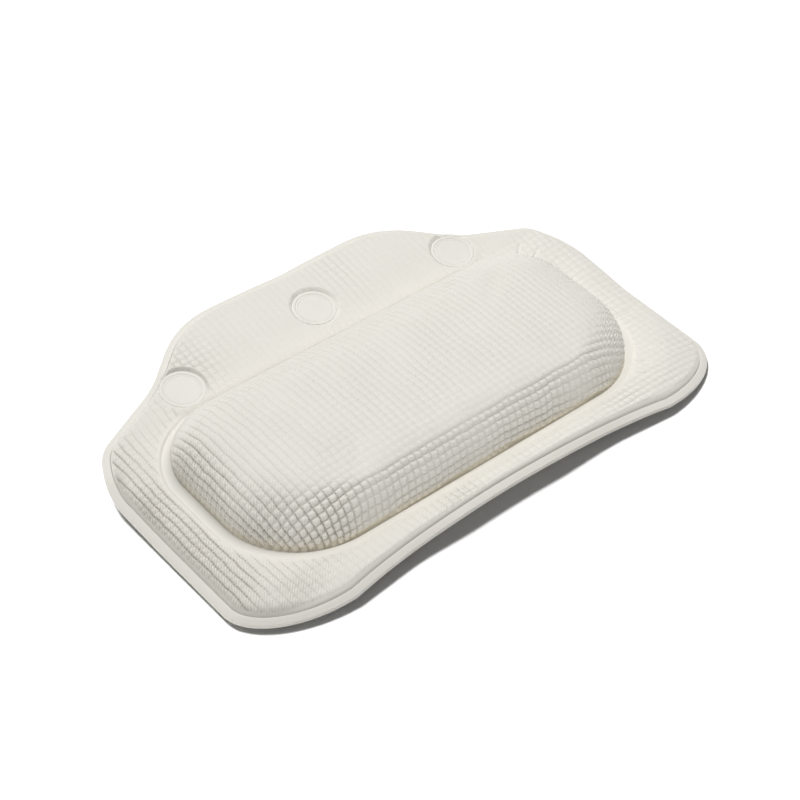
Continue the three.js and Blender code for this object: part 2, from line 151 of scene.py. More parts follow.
def frontSag(x, y):
    # the border in front of the bolster sinks towards both corners, most at its edge
    out = np.clip((-y - bolster["front"]) / (pad["frontReach"] - bolster["front"]), 0, 1)
    return pad["frontSag"] * out * ease((np.abs(x) - pad["sagStart"]) / pad["sagRun"])


def rightEndIn(x, y):
    # the bolster's right end sits in a little; the outline stays where it is
    along = ramp(x, pad["endInZone"]) * (1 - ramp(x, pad["endOutZone"]))
    return pad["rightEndIn"] * along * (1 - ramp(-y, pad["endFrontZone"])) * (1 - ramp(y, pad["endBackZone"]))


def place(x, y, z):
    # a plan point goes to its point on the bent line, plus its height along the line's normal; a sagging
    # edge also draws in
    sag = frontSag(x, y)
    up = z + lay(x, y) - sag
    x = x - rightEndIn(x, y) + pad["sagDrawX"] * sag
    along = y - pad["crease"] + pad["sagDrawY"] * sag
    lean = np.interp(along, bendAt, leanAt)
    worldY = creaseY + np.interp(along, bendAt, bendY) - up * np.sin(lean)
    worldZ = creaseZ + np.interp(along, bendAt, bendZ) + up * np.cos(lean)
    return np.stack([x, worldY, worldZ], -1) / 1000


def placed(rings):
    # all points of a stack of rings, one below the other
    return place(rings[..., 0], rings[..., 1], rings[..., 2]).reshape(-1, 3)


def curveThrough(points, count):
    # Bezier curve of any degree over its control points, without its last point
    t = np.arange(count)[:, None] / count
    points = np.array(points, float)
    degree = len(points) - 1
    return sum(math.comb(degree, k) * (1 - t) ** (degree - k) * t ** k * points[k] for k in range(degree + 1))


def padOutline():
    # front edge, elliptic corner, straight side, shoulder, slope, notch, flap side, flap corner, top edge
    p, steps = pad, outlineSteps
    cornerX = p["halfLength"] - p["cornerRun"]
    cornerY = p["cornerRise"] - p["frontReach"]
    sideEnd = p["crease"] - p["shoulderDrop"]
    shoulder = np.array([p["halfLength"] - p["shoulderInset"], p["crease"] + p["shoulderRise"]])
    notch = np.array([p["notchHalfWidth"], p["crease"] + p["notchRise"]])
    corner = np.array([p["flapHalfWidth"], p["crease"] + p["flapDepth"]])
    slope = (notch - shoulder) / np.linalg.norm(notch - shoulder)
    flapSide = (corner - notch) / np.linalg.norm(corner - notch)
    notchIn = notch - slope * p["notchCurve"]
    notchOut = notch + flapSide * p["notchCurve"]
    cornerStart = corner - flapSide * p["flapCornerRun"]
    topStart = (corner[0] - p["flapCornerRun"], corner[1])
    topMiddle = (0, corner[1] - p["flapHollow"])
    frontMiddle = p["frontHollow"] - p["frontReach"]
    angle = -np.pi / 2 + np.arange(steps["corner"])[:, None] / steps["corner"] * np.pi / 2
    ellipse = np.hstack([cornerX + p["cornerRun"] * np.cos(angle), cornerY + p["cornerRise"] * np.sin(angle)])
    frontEdge = [(0, frontMiddle), (cornerX / 2, frontMiddle), (cornerX, -p["frontReach"])]
    shoulderTurn = [(p["halfLength"], sideEnd), (p["halfLength"], sideEnd + p["shoulderRound"]),
                    shoulder - slope * p["shoulderRound"], shoulder]
    right = np.vstack([
        curveThrough(frontEdge, steps["front"]),
        ellipse,
        curveThrough([(p["halfLength"], cornerY), (p["halfLength"], sideEnd)], steps["side"]),
        curveThrough(shoulderTurn, steps["shoulder"]),
        curveThrough([shoulder, notchIn], steps["slope"]),
        curveThrough([notchIn, notch, notchOut], steps["notch"]),
        curveThrough([notchOut, cornerStart], steps["flapSide"]),
        curveThrough([cornerStart, corner, topStart], steps["flapCorner"]),
        curveThrough([topStart, (corner[0] / 3, corner[1]), topMiddle], steps["top"]),
        [topMiddle],
    ])
    left = right[1:-1][::-1] * [-1, 1]
    return np.vstack([right, left])


def roundedRing(halfX, front, back, frontRadius, backRadius):
    # rounded rectangle, anticlockwise from the middle of its left side: points and outward directions
    sideMiddle = (frontRadius - front + back - backRadius) / 2
    frontX, backX = halfX - frontRadius, halfX - backRadius

    def straight(a, b, count, normal):
        t = np.arange(count)[:, None] / count
        return np.array(a) + (np.array(b) - np.array(a)) * t, np.tile(normal, (count, 1))

    def corner(cx, cy, radius, start):
        angle = start + np.arange(stations["corner"]) / stations["corner"] * np.pi / 2
        normal = np.stack([np.cos(angle), np.sin(angle)], -1)
        return np.array([cx, cy]) + radius * normal, normal

    parts = [
        straight((-halfX, sideMiddle), (-halfX, frontRadius - front), stations["side"], (-1.0, 0.0)),
        corner(-frontX, frontRadius - front, frontRadius, np.pi),
        straight((-frontX, -front), (frontX, -front), stations["edge"], (0.0, -1.0)),
        corner(frontX, frontRadius - front, frontRadius, -np.pi / 2),
        straight((halfX, frontRadius - front), (halfX, sideMiddle), stations["side"], (1.0, 0.0)),
        straight((halfX, sideMiddle), (halfX, back - backRadius), stations["side"], (1.0, 0.0)),
        corner(backX, back - backRadius, backRadius, 0),
        straight((backX, back), (-backX, back), stations["edge"], (0.0, 1.0)),
        corner(-backX, back - backRadius, backRadius, np.pi / 2),
        straight((-halfX, back - backRadius), (-halfX, sideMiddle), stations["side"], (-1.0, 0.0)),
    ]
    return np.vstack([q[0] for q in parts]), np.vstack([q[1] for q in parts])


def wallSteps(wall, height, count, pinch):
    # superellipse wall: inset = run * (1 - cos^(2/across)), height = h * sin^(2/up), at even steps of length;
    # its lowest part swells out over the pinched foot as half a sine wave
    run, across, upward = wall
    angle = np.linspace(0, np.pi / 2, bolster["wallSamples"])
    inset = run * (1 - np.clip(np.cos(angle), 0, 1) ** (2 / across))
    rise = height * np.sin(angle) ** (2 / upward)
    out = np.sin(np.pi * np.clip(rise / bolster["pinchTop"], 0, 1))
    inset = inset - pinch * out * min(1, height / bolster["pinchFull"])
    walked = np.concatenate([[0], np.cumsum(np.hypot(np.diff(inset), np.diff(rise)))])
    even = np.linspace(0, walked[-1], count)
    return np.interp(even, walked, inset), np.interp(even, walked, rise)


def domeRings(skin, foot, height, wallCount, crownCount):
    # rings up the bolster's wall, then from the crown's edge in to half a step short of its middle line
    b = bolster
    frontIn, frontUp = wallSteps(b["frontWall"], height, wallCount, b["pinch"])
    backIn, backUp = wallSteps(b["backWall"], height, wallCount, 0)
    endIn, endUp = wallSteps(b["endWall"], height, wallCount, b["endPinch"])
    rings = []
    for k in range(wallCount):
        frontShare = (skin + frontIn[k]) / (skin + b["frontWall"][0])
        backShare = (skin + backIn[k]) / (skin + b["backWall"][0])
        ring, normal = roundedRing(
            b["halfLength"] - skin - endIn[k], b["front"] - skin - frontIn[k], b["back"] - skin - backIn[k],
            b["frontCorner"] + (b["crownCorner"] - b["frontCorner"]) * frontShare,
            b["backCorner"] + (b["crownCorner"] - b["backCorner"]) * backShare)
        alongEnd = normal[:, 0] ** 2
        side = np.where(normal[:, 1] < 0, frontUp[k], backUp[k])
        rings.append(np.column_stack([ring, foot + endUp[k] * alongEnd + side * (1 - alongEnd)]))
    crown = rings[-1]
    lineY = (crown[:, 1].min() + crown[:, 1].max()) / 2
    lineHalf = crown[:, 0].max() - (crown[:, 1].max() - crown[:, 1].min()) / 2
    lineX = np.clip(crown[:, 0], -lineHalf, lineHalf)
    middle = np.column_stack([lineX, np.full(len(crown), lineY), crown[:, 2]])
    for k in range(crownCount):
        t = (k + 1) / (crownCount + 0.5)
        ring = crown + (middle - crown) * t
        ring[:, 2] += b["crownRise"] * (1 - (1 - t) ** 2)
        rings.append(ring)
    return np.array(rings)


outline = padOutline()
rays = {"nearBy": range(-9, 10), "leastCosine": 0.5}
beyond = 1e9  # longer than any distance here
footRing, footNormal = roundedRing(bolster["halfLength"], bolster["front"], bolster["back"],
                                   bolster["frontCorner"], bolster["backCorner"])
count = len(footRing)


def raysToOutline():
    # where the line out of each foot point meets the outline: length, and cosine to the outline's normal,
    # averaged over the points near by
    a, b = outline, np.roll(outline, -1, 0)
    edge = b - a
    toA = a[None] - footRing[:, None]
    across = footNormal[:, None, 0] * edge[None, :, 1] - footNormal[:, None, 1] * edge[None, :, 0]
    across = np.where(np.abs(across) < 1e-9, 1e-9, across)
    length = (toA[..., 0] * edge[None, :, 1] - toA[..., 1] * edge[None, :, 0]) / across
    share = (toA[..., 0] * footNormal[:, None, 1] - toA[..., 1] * footNormal[:, None, 0]) / across
    length = np.where((share >= -1e-6) & (share <= 1 + 1e-6) & (length > 0), length, beyond)
    hit = length.argmin(1)
    normal = np.stack([edge[:, 1], -edge[:, 0]], -1) / np.linalg.norm(edge, axis=1)[:, None]
    cosine = (normal[hit] * footNormal).sum(1)
    smooth = sum(np.roll(cosine, k) for k in rays["nearBy"]) / len(rays["nearBy"])
    return length.min(1), np.clip(smooth, rays["leastCosine"], 1)


rayLength, rayCosine = raysToOutline()


def edgeDistance(x, y):
    # least distance from each plan point to the outline's straight pieces
    a, b = outline, np.roll(outline, -1, 0)
    edge = b - a
    least = np.full(x.shape, beyond)
    for start, step in zip(a, edge):
        t = np.clip(((x - start[0]) * step[0] + (y - start[1]) * step[1]) / (step @ step), 0, 1)
        least = np.minimum(least, np.hypot(x - start[0] - t * step[0], y - start[1] - t * step[1]))
    return least


def outRing(fromEdge=None, fromFoot=None):
    # plan ring at a distance in from the outline, or out from the bolster's foot
    out = rayLength - fromEdge / rayCosine if fromFoot is None else np.full(count, fromFoot)
    return footRing + footNormal * out[:, None]


def atLevel(ring, level):
    # a plan ring as points at one height
    return np.column_stack([ring, np.full(count, level)])


def between(first, last, shares):
    # rings at shares of the way from one ring to another
    return [first + (last - first) * t for t in shares]


def bandQuads(rows, columns):
    # quads between rings that follow each other, each ring closed on itself
    i = np.arange(columns)
    j = (i + 1) % columns
    base = (np.arange(rows - 1) * columns)[:, None]
    return np.stack([base + i, base + j, base + columns + j, base + columns + i], -1).reshape(-1, 4)


def ringFaces(rings):
    # bands between the rings, and a ladder of quads across the first and the last
    k = np.arange(1, count // 2 - 1)
    ladder = np.stack([k, k + 1, count - k - 1, count - k], -1)
    half = count // 2
    ends = np.array([[0, 1, count - 1], [half - 1, half, half + 1]])
    last = (rings - 1) * count
    quads = np.vstack([bandQuads(rings, count), ladder[:, ::-1], ladder + last])
    tris = np.vstack([ends[:, ::-1], ends + last])
    return quads, tris


def inScene(name, data):
    # a new object, linked to the scene
    made = bpy.data.objects.new(name, data)
    scene.collection.objects.link(made)
    return made


def gridMesh(name, points, quads, tris, weave=None, depths=None):
    # points and faces as one smooth mesh; the weave goes into a UV map, each of the depths into an attribute
    mesh = bpy.data.meshes.new(name)
    mesh.vertices.add(len(points))
    mesh.vertices.foreach_set("co", points.astype(np.float32).ravel())
    corners = np.concatenate([quads.ravel(), tris.ravel()]).astype(np.int32)
    quadStarts = np.arange(len(quads)) * 4
    triStarts = len(quads) * 4 + np.arange(len(tris)) * 3
    starts = np.concatenate([quadStarts, triStarts]).astype(np.int32)
    mesh.loops.add(len(corners))
    mesh.loops.foreach_set("vertex_index", corners)
    mesh.polygons.add(len(starts))
    mesh.polygons.foreach_set("loop_start", starts)
    mesh.polygons.foreach_set("use_smooth", np.ones(len(starts), bool))
    mesh.update(calc_edges=True)
    if weave is not None:
        mesh.uv_layers.new(name="weave").data.foreach_set("uv", weave[corners].astype(np.float32).ravel())
    for label, values in (depths or {}).items():
        mesh.attributes.new(label, "FLOAT", "POINT").data.foreach_set("value", values.astype(np.float32))
    mesh.validate()
    return inScene(name, mesh)


def ringMesh(name, rings, weave=None, depths=None):
    # a stack of plan rings as one closed mesh
    quads, tris = ringFaces(len(rings))
    return gridMesh(name, placed(rings), quads, tris, weave, depths)


def turnedPiece(name, profile, plan, segments=96):
    # profile of radius and height carried round the cup's own axis, then set on the leaning flap
    profile = np.array(profile, float)
    angle = np.arange(segments) / segments * 2 * np.pi
    x = plan[0] + profile[1:-1, 0, None] * np.cos(angle)
    y = plan[1] + profile[1:-1, 0, None] * np.sin(angle)
    z = np.repeat(profile[1:-1, 1, None], segments, 1)
    tips = np.array([[plan[0], plan[1], profile[0, 1]], [plan[0], plan[1], profile[-1, 1]]])
    flat = np.vstack([np.stack([x, y, z], -1).reshape(-1, 3), tips])
    lean = math.radians(pad["flapLean"])
    along = flat[:, 1] - pad["crease"]
    points = np.column_stack([
        flat[:, 0],
        creaseY + along * math.cos(lean) - flat[:, 2] * math.sin(lean),
        creaseZ + along * math.sin(lean) + flat[:, 2] * math.cos(lean)]) / 1000
    rows = len(profile) - 2
    i = np.arange(segments)
    j = (i + 1) % segments
    first = np.stack([np.full(segments, rows * segments), j, i], -1)
    final = (rows - 1) * segments
    last = np.stack([np.full(segments, rows * segments + 1), final + i, final + j], -1)
    return gridMesh(name, points, bandQuads(rows, segments), np.vstack([first, last]))


print("plan: outline", len(outline), "points, ring", count, "points")

# Front cover: one sheet of embossed foam over the bolster, the border and the flap.
cover = {
    # rounded lower edge: way in from the outline, height over the foam's foot
    "edge": [(0.35, 0.0), (0.08, 0.2), (0.0, 0.45), (0.0, 0.7), (0.1, 0.95), (0.4, 1.12), (0.9, 1.23)],
    "rimRings": (1.7, 2.6, 3.5, 4.1, 4.4, 4.52, 4.62, 4.78, 5.0, 5.3, 5.7, 6.2),
    "middleRings": 52,
    "channelRings": (8.0, 7.4, 6.9, 6.4, 5.9, 5.4, 5.0, 4.6, 4.2, 3.7, 3.0, 2.2, 1.4, 0.8, 0.35),
    "wallRings": 96, "crownRings": 50,
    "underRings": (1.0, 4.0, 7.0), "underSteps": (0.33, 0.67, 1.0), "underEdge": 1.5,
    "dishRadius": 12.6, "lipWidth": 0.3, "dishRun": 1.5, "slopeRun": 6.0, "dishFoot": 3.0, "dishLip": 5.12,
    "snapReach": 0.75, "snapIn": -0.05, "snapOut": 0.15,
    "footPress": 0.8, "fill": 0.85,
}

# smooth weld channel round the bolster's foot: narrow in front, wide at the ends
channelWidth = np.where(footNormal[:, 1] < 0, pad["frontChannel"], pad["backChannel"])
channelWidth = channelWidth + (pad["sideChannel"] - channelWidth) * footNormal[:, 0] ** 2
footPress = pad["footLine"] * ramp(-footNormal[:, 1], pad["footFrontZone"])  # deepest along the front

wrinkle = {
    "start": 0.8,
    "spacing": 4.2, "depth": 0.6, "sharp": 6, "fade": 5.0,  # short ones round the right end
    "endZone": (0.45, 0.3), "frontZone": (-0.5, 0.4),
    "longTurns": (-60, -49, -37, -8, 31, 44), "turnWidth": 0.8,  # long ones, in degrees round the foot
    "longDepth": 0.75, "longReach": 15.0, "longFade": 8,
}
footTurn = np.degrees(np.arctan2(footNormal[:, 1], footNormal[:, 0]))
footWalk = np.concatenate([[0], np.cumsum(np.linalg.norm(np.diff(footRing, axis=0), axis=1))])


def wrinkles(past):
    # short grooves at even steps round the right end, a power of |cos|, gone a few millimetres out, and six
    # long ones at the right end and its corners
    w = wrinkle
    atRight = ramp(footNormal[:, 0], w["endZone"]) * ramp(-footNormal[:, 1], w["frontZone"])
    short = np.abs(np.cos(np.pi * footWalk / w["spacing"])) ** w["sharp"] * atRight
    begun = ease(past / w["start"])
    depth = w["depth"] * short * begun * np.exp(-np.clip(past, 0, None) / w["fade"])
    for turn in w["longTurns"]:
        out = begun * ease((w["longReach"] - past) / w["longFade"])
        depth = depth + w["longDepth"] * bell(footTurn - turn, w["turnWidth"]) * out
    return depth


def discDistance(x, y):
    # least distance to the middle of a disc
    return np.min([np.hypot(x - px, y - py) for px, py in cupPlan.values()], axis=0)


def borderHeight(x, y, fromEdge, fromFoot):
    # weld level plus foam: steep quarter circle at the rim, small step and slow curve from the channel; round
    # each disc a lip at the disc's own level, from which the foam comes back
    onFlap = ramp(y, pad["flapZone"])
    rise = pad["rise"] + (pad["flapRise"] - pad["rise"]) * onFlap
    run = pad["channelRun"] + (pad["flapRun"] - pad["channelRun"]) * onFlap
    past = fromFoot - channelWidth
    slow = 1 - (1 - np.clip(past / run, 0, 1)) ** pad["slowPower"]
    fromChannel = pad["channelStep"] * ease(past / pad["stepRun"]) + (1 - pad["channelStep"]) * slow
    longer = (pad["leftRimRun"] - pad["rimRun"]) * ramp(-x, pad["leftRimZone"]) * (1 - onFlap)
    height = pad["weldTop"] + rise * swell(fromEdge - pad["rim"], pad["rimRun"] + longer) * fromChannel
    height = height - pad["rimFall"] * np.clip(1 - fromEdge / pad["rim"], 0, 1) ** 2
    # fine lines pressed in where the foam meets the rim and where the bolster meets the channel
    height = height - pad["rimLine"] * bell(fromEdge - pad["rim"], pad["rimLineWidth"])
    height = height - footPress * bell(fromFoot - pad["footLineAt"], pad["footLineWidth"]) - wrinkles(past)
    away = discDistance(x, y) - cover["dishRadius"]
    out = away - cover["lipWidth"]
    lip = cover["dishLip"] - lay(x, y)
    back = ease(out / np.where(height < lip, cover["slopeRun"], cover["dishRun"]))
    return np.where(away < 0, cover["dishFoot"] - lay(x, y), lip + (height - lip) * back)


def roundDishes(plan):
    # points close to a disc's edge slide along its radius onto one of two circles, so the edge is clean
    for centre in cupPlan.values():
        away = plan - centre
        radius = np.linalg.norm(away, axis=-1)
        past = radius - cover["dishRadius"] - cover["lipWidth"]
        snap = np.where(past < 0, cover["snapIn"], cover["snapOut"])
        target = cover["dishRadius"] + cover["lipWidth"] + snap
        near = np.where(np.abs(past) < cover["snapReach"], 1.0, 0.0)
        plan = plan + away * (near * (target / np.maximum(radius, 1e-6) - 1))[..., None]
    return plan


def coverRings():
    # plan rings from the outline's lower edge over the rim, the border and the channel to the foot
    rings = [outRing(fromEdge=inward) for inward, up in cover["edge"]]
    heights = [np.full(count, pad["foamFoot"] + up) for inward, up in cover["edge"]]
    rings += [outRing(fromEdge=inward) for inward in cover["rimRings"]]
    steps = np.arange(1, cover["middleRings"] + 1) / (cover["middleRings"] + 1)
    rings += between(rings[-1], outRing(fromFoot=cover["channelRings"][0]), steps)
    rings += [outRing(fromFoot=out) for out in cover["channelRings"]]
    plan = roundDishes(np.array(rings))
    fromEdge = edgeDistance(plan[..., 0], plan[..., 1])
    fromFoot = ((plan - footRing) * footNormal).sum(-1)
    border = borderHeight(plan[..., 0], plan[..., 1], fromEdge, fromFoot)
    border[:len(heights)] = heights
    return np.dstack([plan, border]), fromEdge, fromFoot


borderGrid, borderEdge, borderFoot = coverRings()
domeGrid = domeRings(0, pad["weldTop"], bolster["height"], cover["wallRings"], cover["crownRings"])
domeGrid[0, :, 2] -= footPress * cover["footPress"]
topGrid = np.concatenate([borderGrid, domeGrid])
borderRows = len(borderGrid)
borderX, borderY = borderGrid[..., 0], borderGrid[..., 1]
domeX, domeY, domeUp = domeGrid[..., 0], domeGrid[..., 1], domeGrid[..., 2] - pad["weldTop"]
topX, topY = topGrid[..., 0], topGrid[..., 1]
print("front cover:", len(topGrid), "rings")


waves = {"count": 12, "sizes": (0.7, 1.4), "level": 3.5}


def waveNoise(x, y, size, seed):
    # sum of seeded plane waves of about one size: smooth, even unevenness
    rng = np.random.default_rng(seed)
    total = np.zeros(x.shape)
    for _ in range(waves["count"]):
        turn, phase = rng.uniform(0, 2 * np.pi, 2)
        scale = 2 * np.pi / (size * rng.uniform(*waves["sizes"]))
        total += np.sin(scale * (x * np.cos(turn) + y * np.sin(turn)) + phase)
    return total / waves["level"]


puff = {
    "edgeRows": 13, "weldRows": 6, "borderStep": 4, "domeStep": 5, "columnStep": 8,  # coarse copy of the grid
    "heldEdge": 6.5, "heldFoot": 7, "heldDisc": 15,  # welds, in mm from rim, foot and discs
    "quality": 6, "mass": 0.3, "stretch": 12, "shear": 6, "bending": 4, "pressure": 1.5, "frames": 20,
    "cap": 1.2, "smoothing": 12,
}


def puffed(grid):
    # cloth: a coarse copy of the sheet, held at its welds, is blown up a little; returns how far it moved
    weldStart = borderRows - puff["weldRows"]
    rows = np.unique(np.concatenate([np.arange(puff["edgeRows"], weldStart, puff["borderStep"]),
                                     np.arange(weldStart, len(grid), puff["domeStep"])]))
    columns = np.arange(0, count, puff["columnStep"])
    coarse = grid[rows][:, columns]
    r, c = len(rows), len(columns)
    piece = gridMesh("puffing", coarse.reshape(-1, 3) / 1000, bandQuads(r, c), np.zeros((0, 3), int))
    held = np.zeros((r, c), bool)
    border = rows < borderRows
    edge = borderEdge[rows[border]][:, columns]
    foot = borderFoot[rows[border]][:, columns]
    toDisc = discDistance(coarse[border][..., 0], coarse[border][..., 1])
    held[border] = (edge < puff["heldEdge"]) | (foot < puff["heldFoot"]) | (toDisc < puff["heldDisc"])
    held[np.where(~border)[0][0]] = True
    group = piece.vertex_groups.new(name="welds")
    group.add(np.where(held.ravel())[0].tolist(), 1.0, "REPLACE")
    cloth = piece.modifiers.new("puff", "CLOTH")
    settings = cloth.settings
    settings.quality = puff["quality"]
    settings.mass = puff["mass"]
    settings.tension_stiffness = settings.compression_stiffness = puff["stretch"]
    settings.shear_stiffness = puff["shear"]
    settings.bending_stiffness = puff["bending"]
    settings.vertex_group_mass = "welds"
    settings.use_pressure = True
    settings.uniform_pressure_force = puff["pressure"]
    settings.effector_weights.gravity = 0
    cloth.point_cache.frame_start, cloth.point_cache.frame_end = 1, puff["frames"]
    for step in range(1, puff["frames"] + 1):
        scene.frame_set(step)
    evaluated = piece.evaluated_get(bpy.context.evaluated_depsgraph_get())
    moved = np.empty(r * c * 3, np.float32)
    evaluated.data.vertices.foreach_get("co", moved)
    moved = moved.reshape(r, c, 3) * 1000 - coarse
    scene.frame_set(1)
    mesh = piece.data
    bpy.data.objects.remove(piece)
    bpy.data.meshes.remove(mesh)
    length = np.linalg.norm(moved, axis=-1, keepdims=True)
    print("cloth: largest move", round(float(length.max()), 2), "mm, mean", round(float(length.mean()), 2))
    moved *= np.minimum(1, puff["cap"] / np.maximum(length, 1e-6))
    # spread to the fine grid: straight lines between coarse columns, then between coarse rows
    wrapped = np.concatenate([moved, moved[:, :1]], 1)
    at = np.arange(count) / puff["columnStep"]
    low = np.floor(at).astype(int)
    part = (at - low)[:, None]
    byColumn = wrapped[:, low] * (1 - part) + wrapped[:, low + 1] * part
    spot = np.interp(np.arange(len(grid)), rows, np.arange(r))
    low = np.minimum(np.floor(spot).astype(int), r - 2)
    part = (spot - low)[:, None, None]
    fine = byColumn[low] * (1 - part) + byColumn[low + 1] * part
    fine[:puff["edgeRows"]] = 0
    # running mean over columns and rows near by, weights 1, 2 and 1
    for _ in range(puff["smoothing"]):
        fine = (np.roll(fine, 4, 1) + fine * 2 + np.roll(fine, -4, 1)) / 4
        fine[2:-2] = (fine[:-4] + fine[2:-2] * 2 + fine[4:]) / 4
    return fine


def gridNormals(grid):
    # cross product of the steps round the ring and across the rings
    around = np.roll(grid, -1, 1) - np.roll(grid, 1, 1)
    inward = np.gradient(grid, axis=0)
    normal = np.cross(around, inward)
    return normal / np.maximum(np.linalg.norm(normal, axis=-1, keepdims=True), 1e-9)


def wovenPlan(grid):
    # emboss coordinates: plan position, pushed out along the wall by the length that its rise adds
    step3 = np.linalg.norm(np.diff(domeGrid, axis=0), axis=-1)
    step2 = np.linalg.norm(np.diff(domeGrid[..., :2], axis=0), axis=-1)
    extra = np.vstack([np.cumsum((step3 - step2)[::-1], axis=0)[::-1], np.zeros((1, count))])
    plan = grid[..., :2].copy()
    plan[borderRows:] += footNormal * extra[..., None]
    return plan


waffle = {
    "pitch": 4.35, "ribDepth": 1.05, "crossDepth": 1.05, "slant": 0.12,
    # powers of |sin|: on crisp cells, and what is added on soft ones
    "ribPower": (0.7, 1.1), "strokePower": (1, 0.8), "strokeHide": 0.7,
    "wander": 0.3, "wanderSizes": (30, 26), "shake": 0.16, "shakeSize": 8, "seed": 7,
    # how deep the emboss is, by place
    "crown": 0.34, "wall": 1.2, "rightEnd": 1.15, "border": 0.28, "flap": 0.1, "deepest": 1.6,
    # deeper patches: x, y, reach in x, reach in y, gain
    "patches": [(-157, -5, 18, 70, 1.15), (-128, -72, 26, 20, 0.55), (-88, 97, 20, 30, 0.55),
                (28, 100, 14, 22, 0.25), (-84, -78, 24, 9, 0.05), (-32, -74, 16, 10, 0.6),
                (152, 25, 16, 50, 0.2), (96, -74, 20, 8, 0.2), (20, -72, 30, 7, 0.1)],
    "rimZone": (0.5, 0.8), "channelZone": (0.3, 4.0), "discZone": (0.8, 2.0), "flapZone": (60, 12),
    "rightBorder": 0.5, "rightZone": (95, 35), "rightFrontZone": (-60, 30),
    "wallTilt": 0.22, "crownTilt": 0.12, "facingBackZone": (0.3, 0.35), "rightEndZone": (85, 30),
    "crownBack": 0.6, "crownBackZone": (0.1, 0.3), "atFoot": 0.25, "footRun": 1.2,
    "lowLeft": 0.7, "lowLeftZone": (95, 25), "lowLeftRise": 14, "lowFrontZone": (-60, 30),
    "uneven": 0.25, "unevenSize": 45, "unevenLimits": (0.5, 1.5),
    # knit: slanted strokes in place of cross strokes, at the left and on the left half of the front border
    "leftZone": (80, 35), "leftFrontZone": (-55, 30), "borderKnit": 1.15,
    "borderKnitZone": (10, 40), "borderKnitFront": (10, 20),
    "frontZone": (20, 20), "frontLeftZone": (-100, 40), "frontRightZone": (80, 30),
    "frontBorder": -0.5, "frontRibs": 0.3, "frontStrokes": 0.6, "frontSoft": 0.45, "softZone": (70, 40),
    "knitStrokes": 0.65, "flapKnit": 0.9, "crownStrokes": 0.5, "softStrokes": 0.5,
    "crownKnit": 0.6, "plainTwist": 0.25, "flapTwist": 0.5,
}


def embossDepth():
    # none on the rim, the channel and the dishes; shallow where the sheet lies flat, full on the bolster's
    # walls, with bell-shaped patches; returns the depth of the ribs, of the strokes across them and of the
    # knit's twist, and how soft the cells are
    w = waffle
    x, y = borderX, borderY
    border = w["border"] + (w["flap"] - w["border"]) * ramp(y, w["flapZone"])
    for px, py, reachX, reachY, gain in w["patches"]:
        border = border + gain * np.exp(-((x - px) / reachX) ** 2 - ((y - py) / reachY) ** 2)
    border *= 1 - w["rightBorder"] * ramp(x, w["rightZone"]) * ramp(y, w["rightFrontZone"])
    border *= ramp(borderEdge - pad["rim"], w["rimZone"]) * ramp(borderFoot - channelWidth, w["channelZone"])
    border *= ramp(discDistance(x, y) - cover["dishRadius"], w["discZone"])

    normals = gridNormals(domeGrid)
    tilt = 1 - np.abs(normals[..., 2])
    towardsBack = normals[..., 1]
    wall = w["wall"] + (w["rightEnd"] - w["wall"]) * ramp(domeX, w["rightEndZone"])
    onWall = ease(tilt / w["wallTilt"]) * (1 - ramp(towardsBack, w["facingBackZone"]))
    crown = w["crown"] * (1 - w["crownBack"] * ramp(towardsBack, w["crownBackZone"]))
    dome = crown + (wall - w["crown"]) * onWall
    dome *= w["atFoot"] + (1 - w["atFoot"]) * ease(domeUp / w["footRun"])
    lowLeft = ramp(-domeX, w["lowLeftZone"]) * bell(domeUp, w["lowLeftRise"])
    dome *= 1 + w["lowLeft"] * lowLeft * ramp(domeY, w["lowFrontZone"])

    uneven = 1 + w["uneven"] * waveNoise(topX, topY, w["unevenSize"], w["seed"] + 2)
    uneven = np.clip(uneven, *w["unevenLimits"])
    ribs = np.vstack([np.clip(border, 0, w["deepest"]), dome]) * uneven
    atLeft = ramp(-topX, w["leftZone"]) * ramp(topY, w["leftFrontZone"])
    knitted = ramp(-x, w["borderKnitZone"]) * ramp(-y, w["borderKnitFront"])
    atLeft[:borderRows] = np.maximum(atLeft[:borderRows], w["borderKnit"] * knitted)
    inFront = ramp(topX, w["frontLeftZone"]) * ramp(-topY, w["frontZone"])
    inFront = inFront * (1 - ramp(topX, w["frontRightZone"]))
    inFront[:borderRows] *= w["frontBorder"]  # faint cross strokes on the front border
    onFrontWall = np.clip(inFront, 0, 1)
    ribs = ribs * (1 - w["frontRibs"] * onFrontWall)
    onFlap = ramp(topY, w["flapZone"])
    noneOnBorder = np.zeros(borderGrid.shape[:2])
    onCrown = np.vstack([noneOnBorder, 1 - ease(tilt / w["crownTilt"])])
    soft = np.vstack([noneOnBorder, ramp(domeX, w["softZone"])])
    soft = np.maximum(soft, w["frontSoft"] * onFrontWall)
    strokes = ribs * (1 - w["knitStrokes"] * np.maximum(atLeft, w["flapKnit"] * onFlap))
    strokes = strokes * (1 + w["frontStrokes"] * inFront) * (1 - w["crownStrokes"] * onCrown)
    softer = np.clip(soft - w["frontSoft"], 0, 1) / (1 - w["frontSoft"])
    strokes = strokes * (1 - w["softStrokes"] * softer)
    knit = np.maximum(atLeft, np.maximum(soft, w["crownKnit"] * onCrown))
    twist = ribs * (w["plainTwist"] + (1 - w["plainTwist"]) * knit) * (1 - w["flapTwist"] * onFlap)
    return ribs, strokes, twist, soft


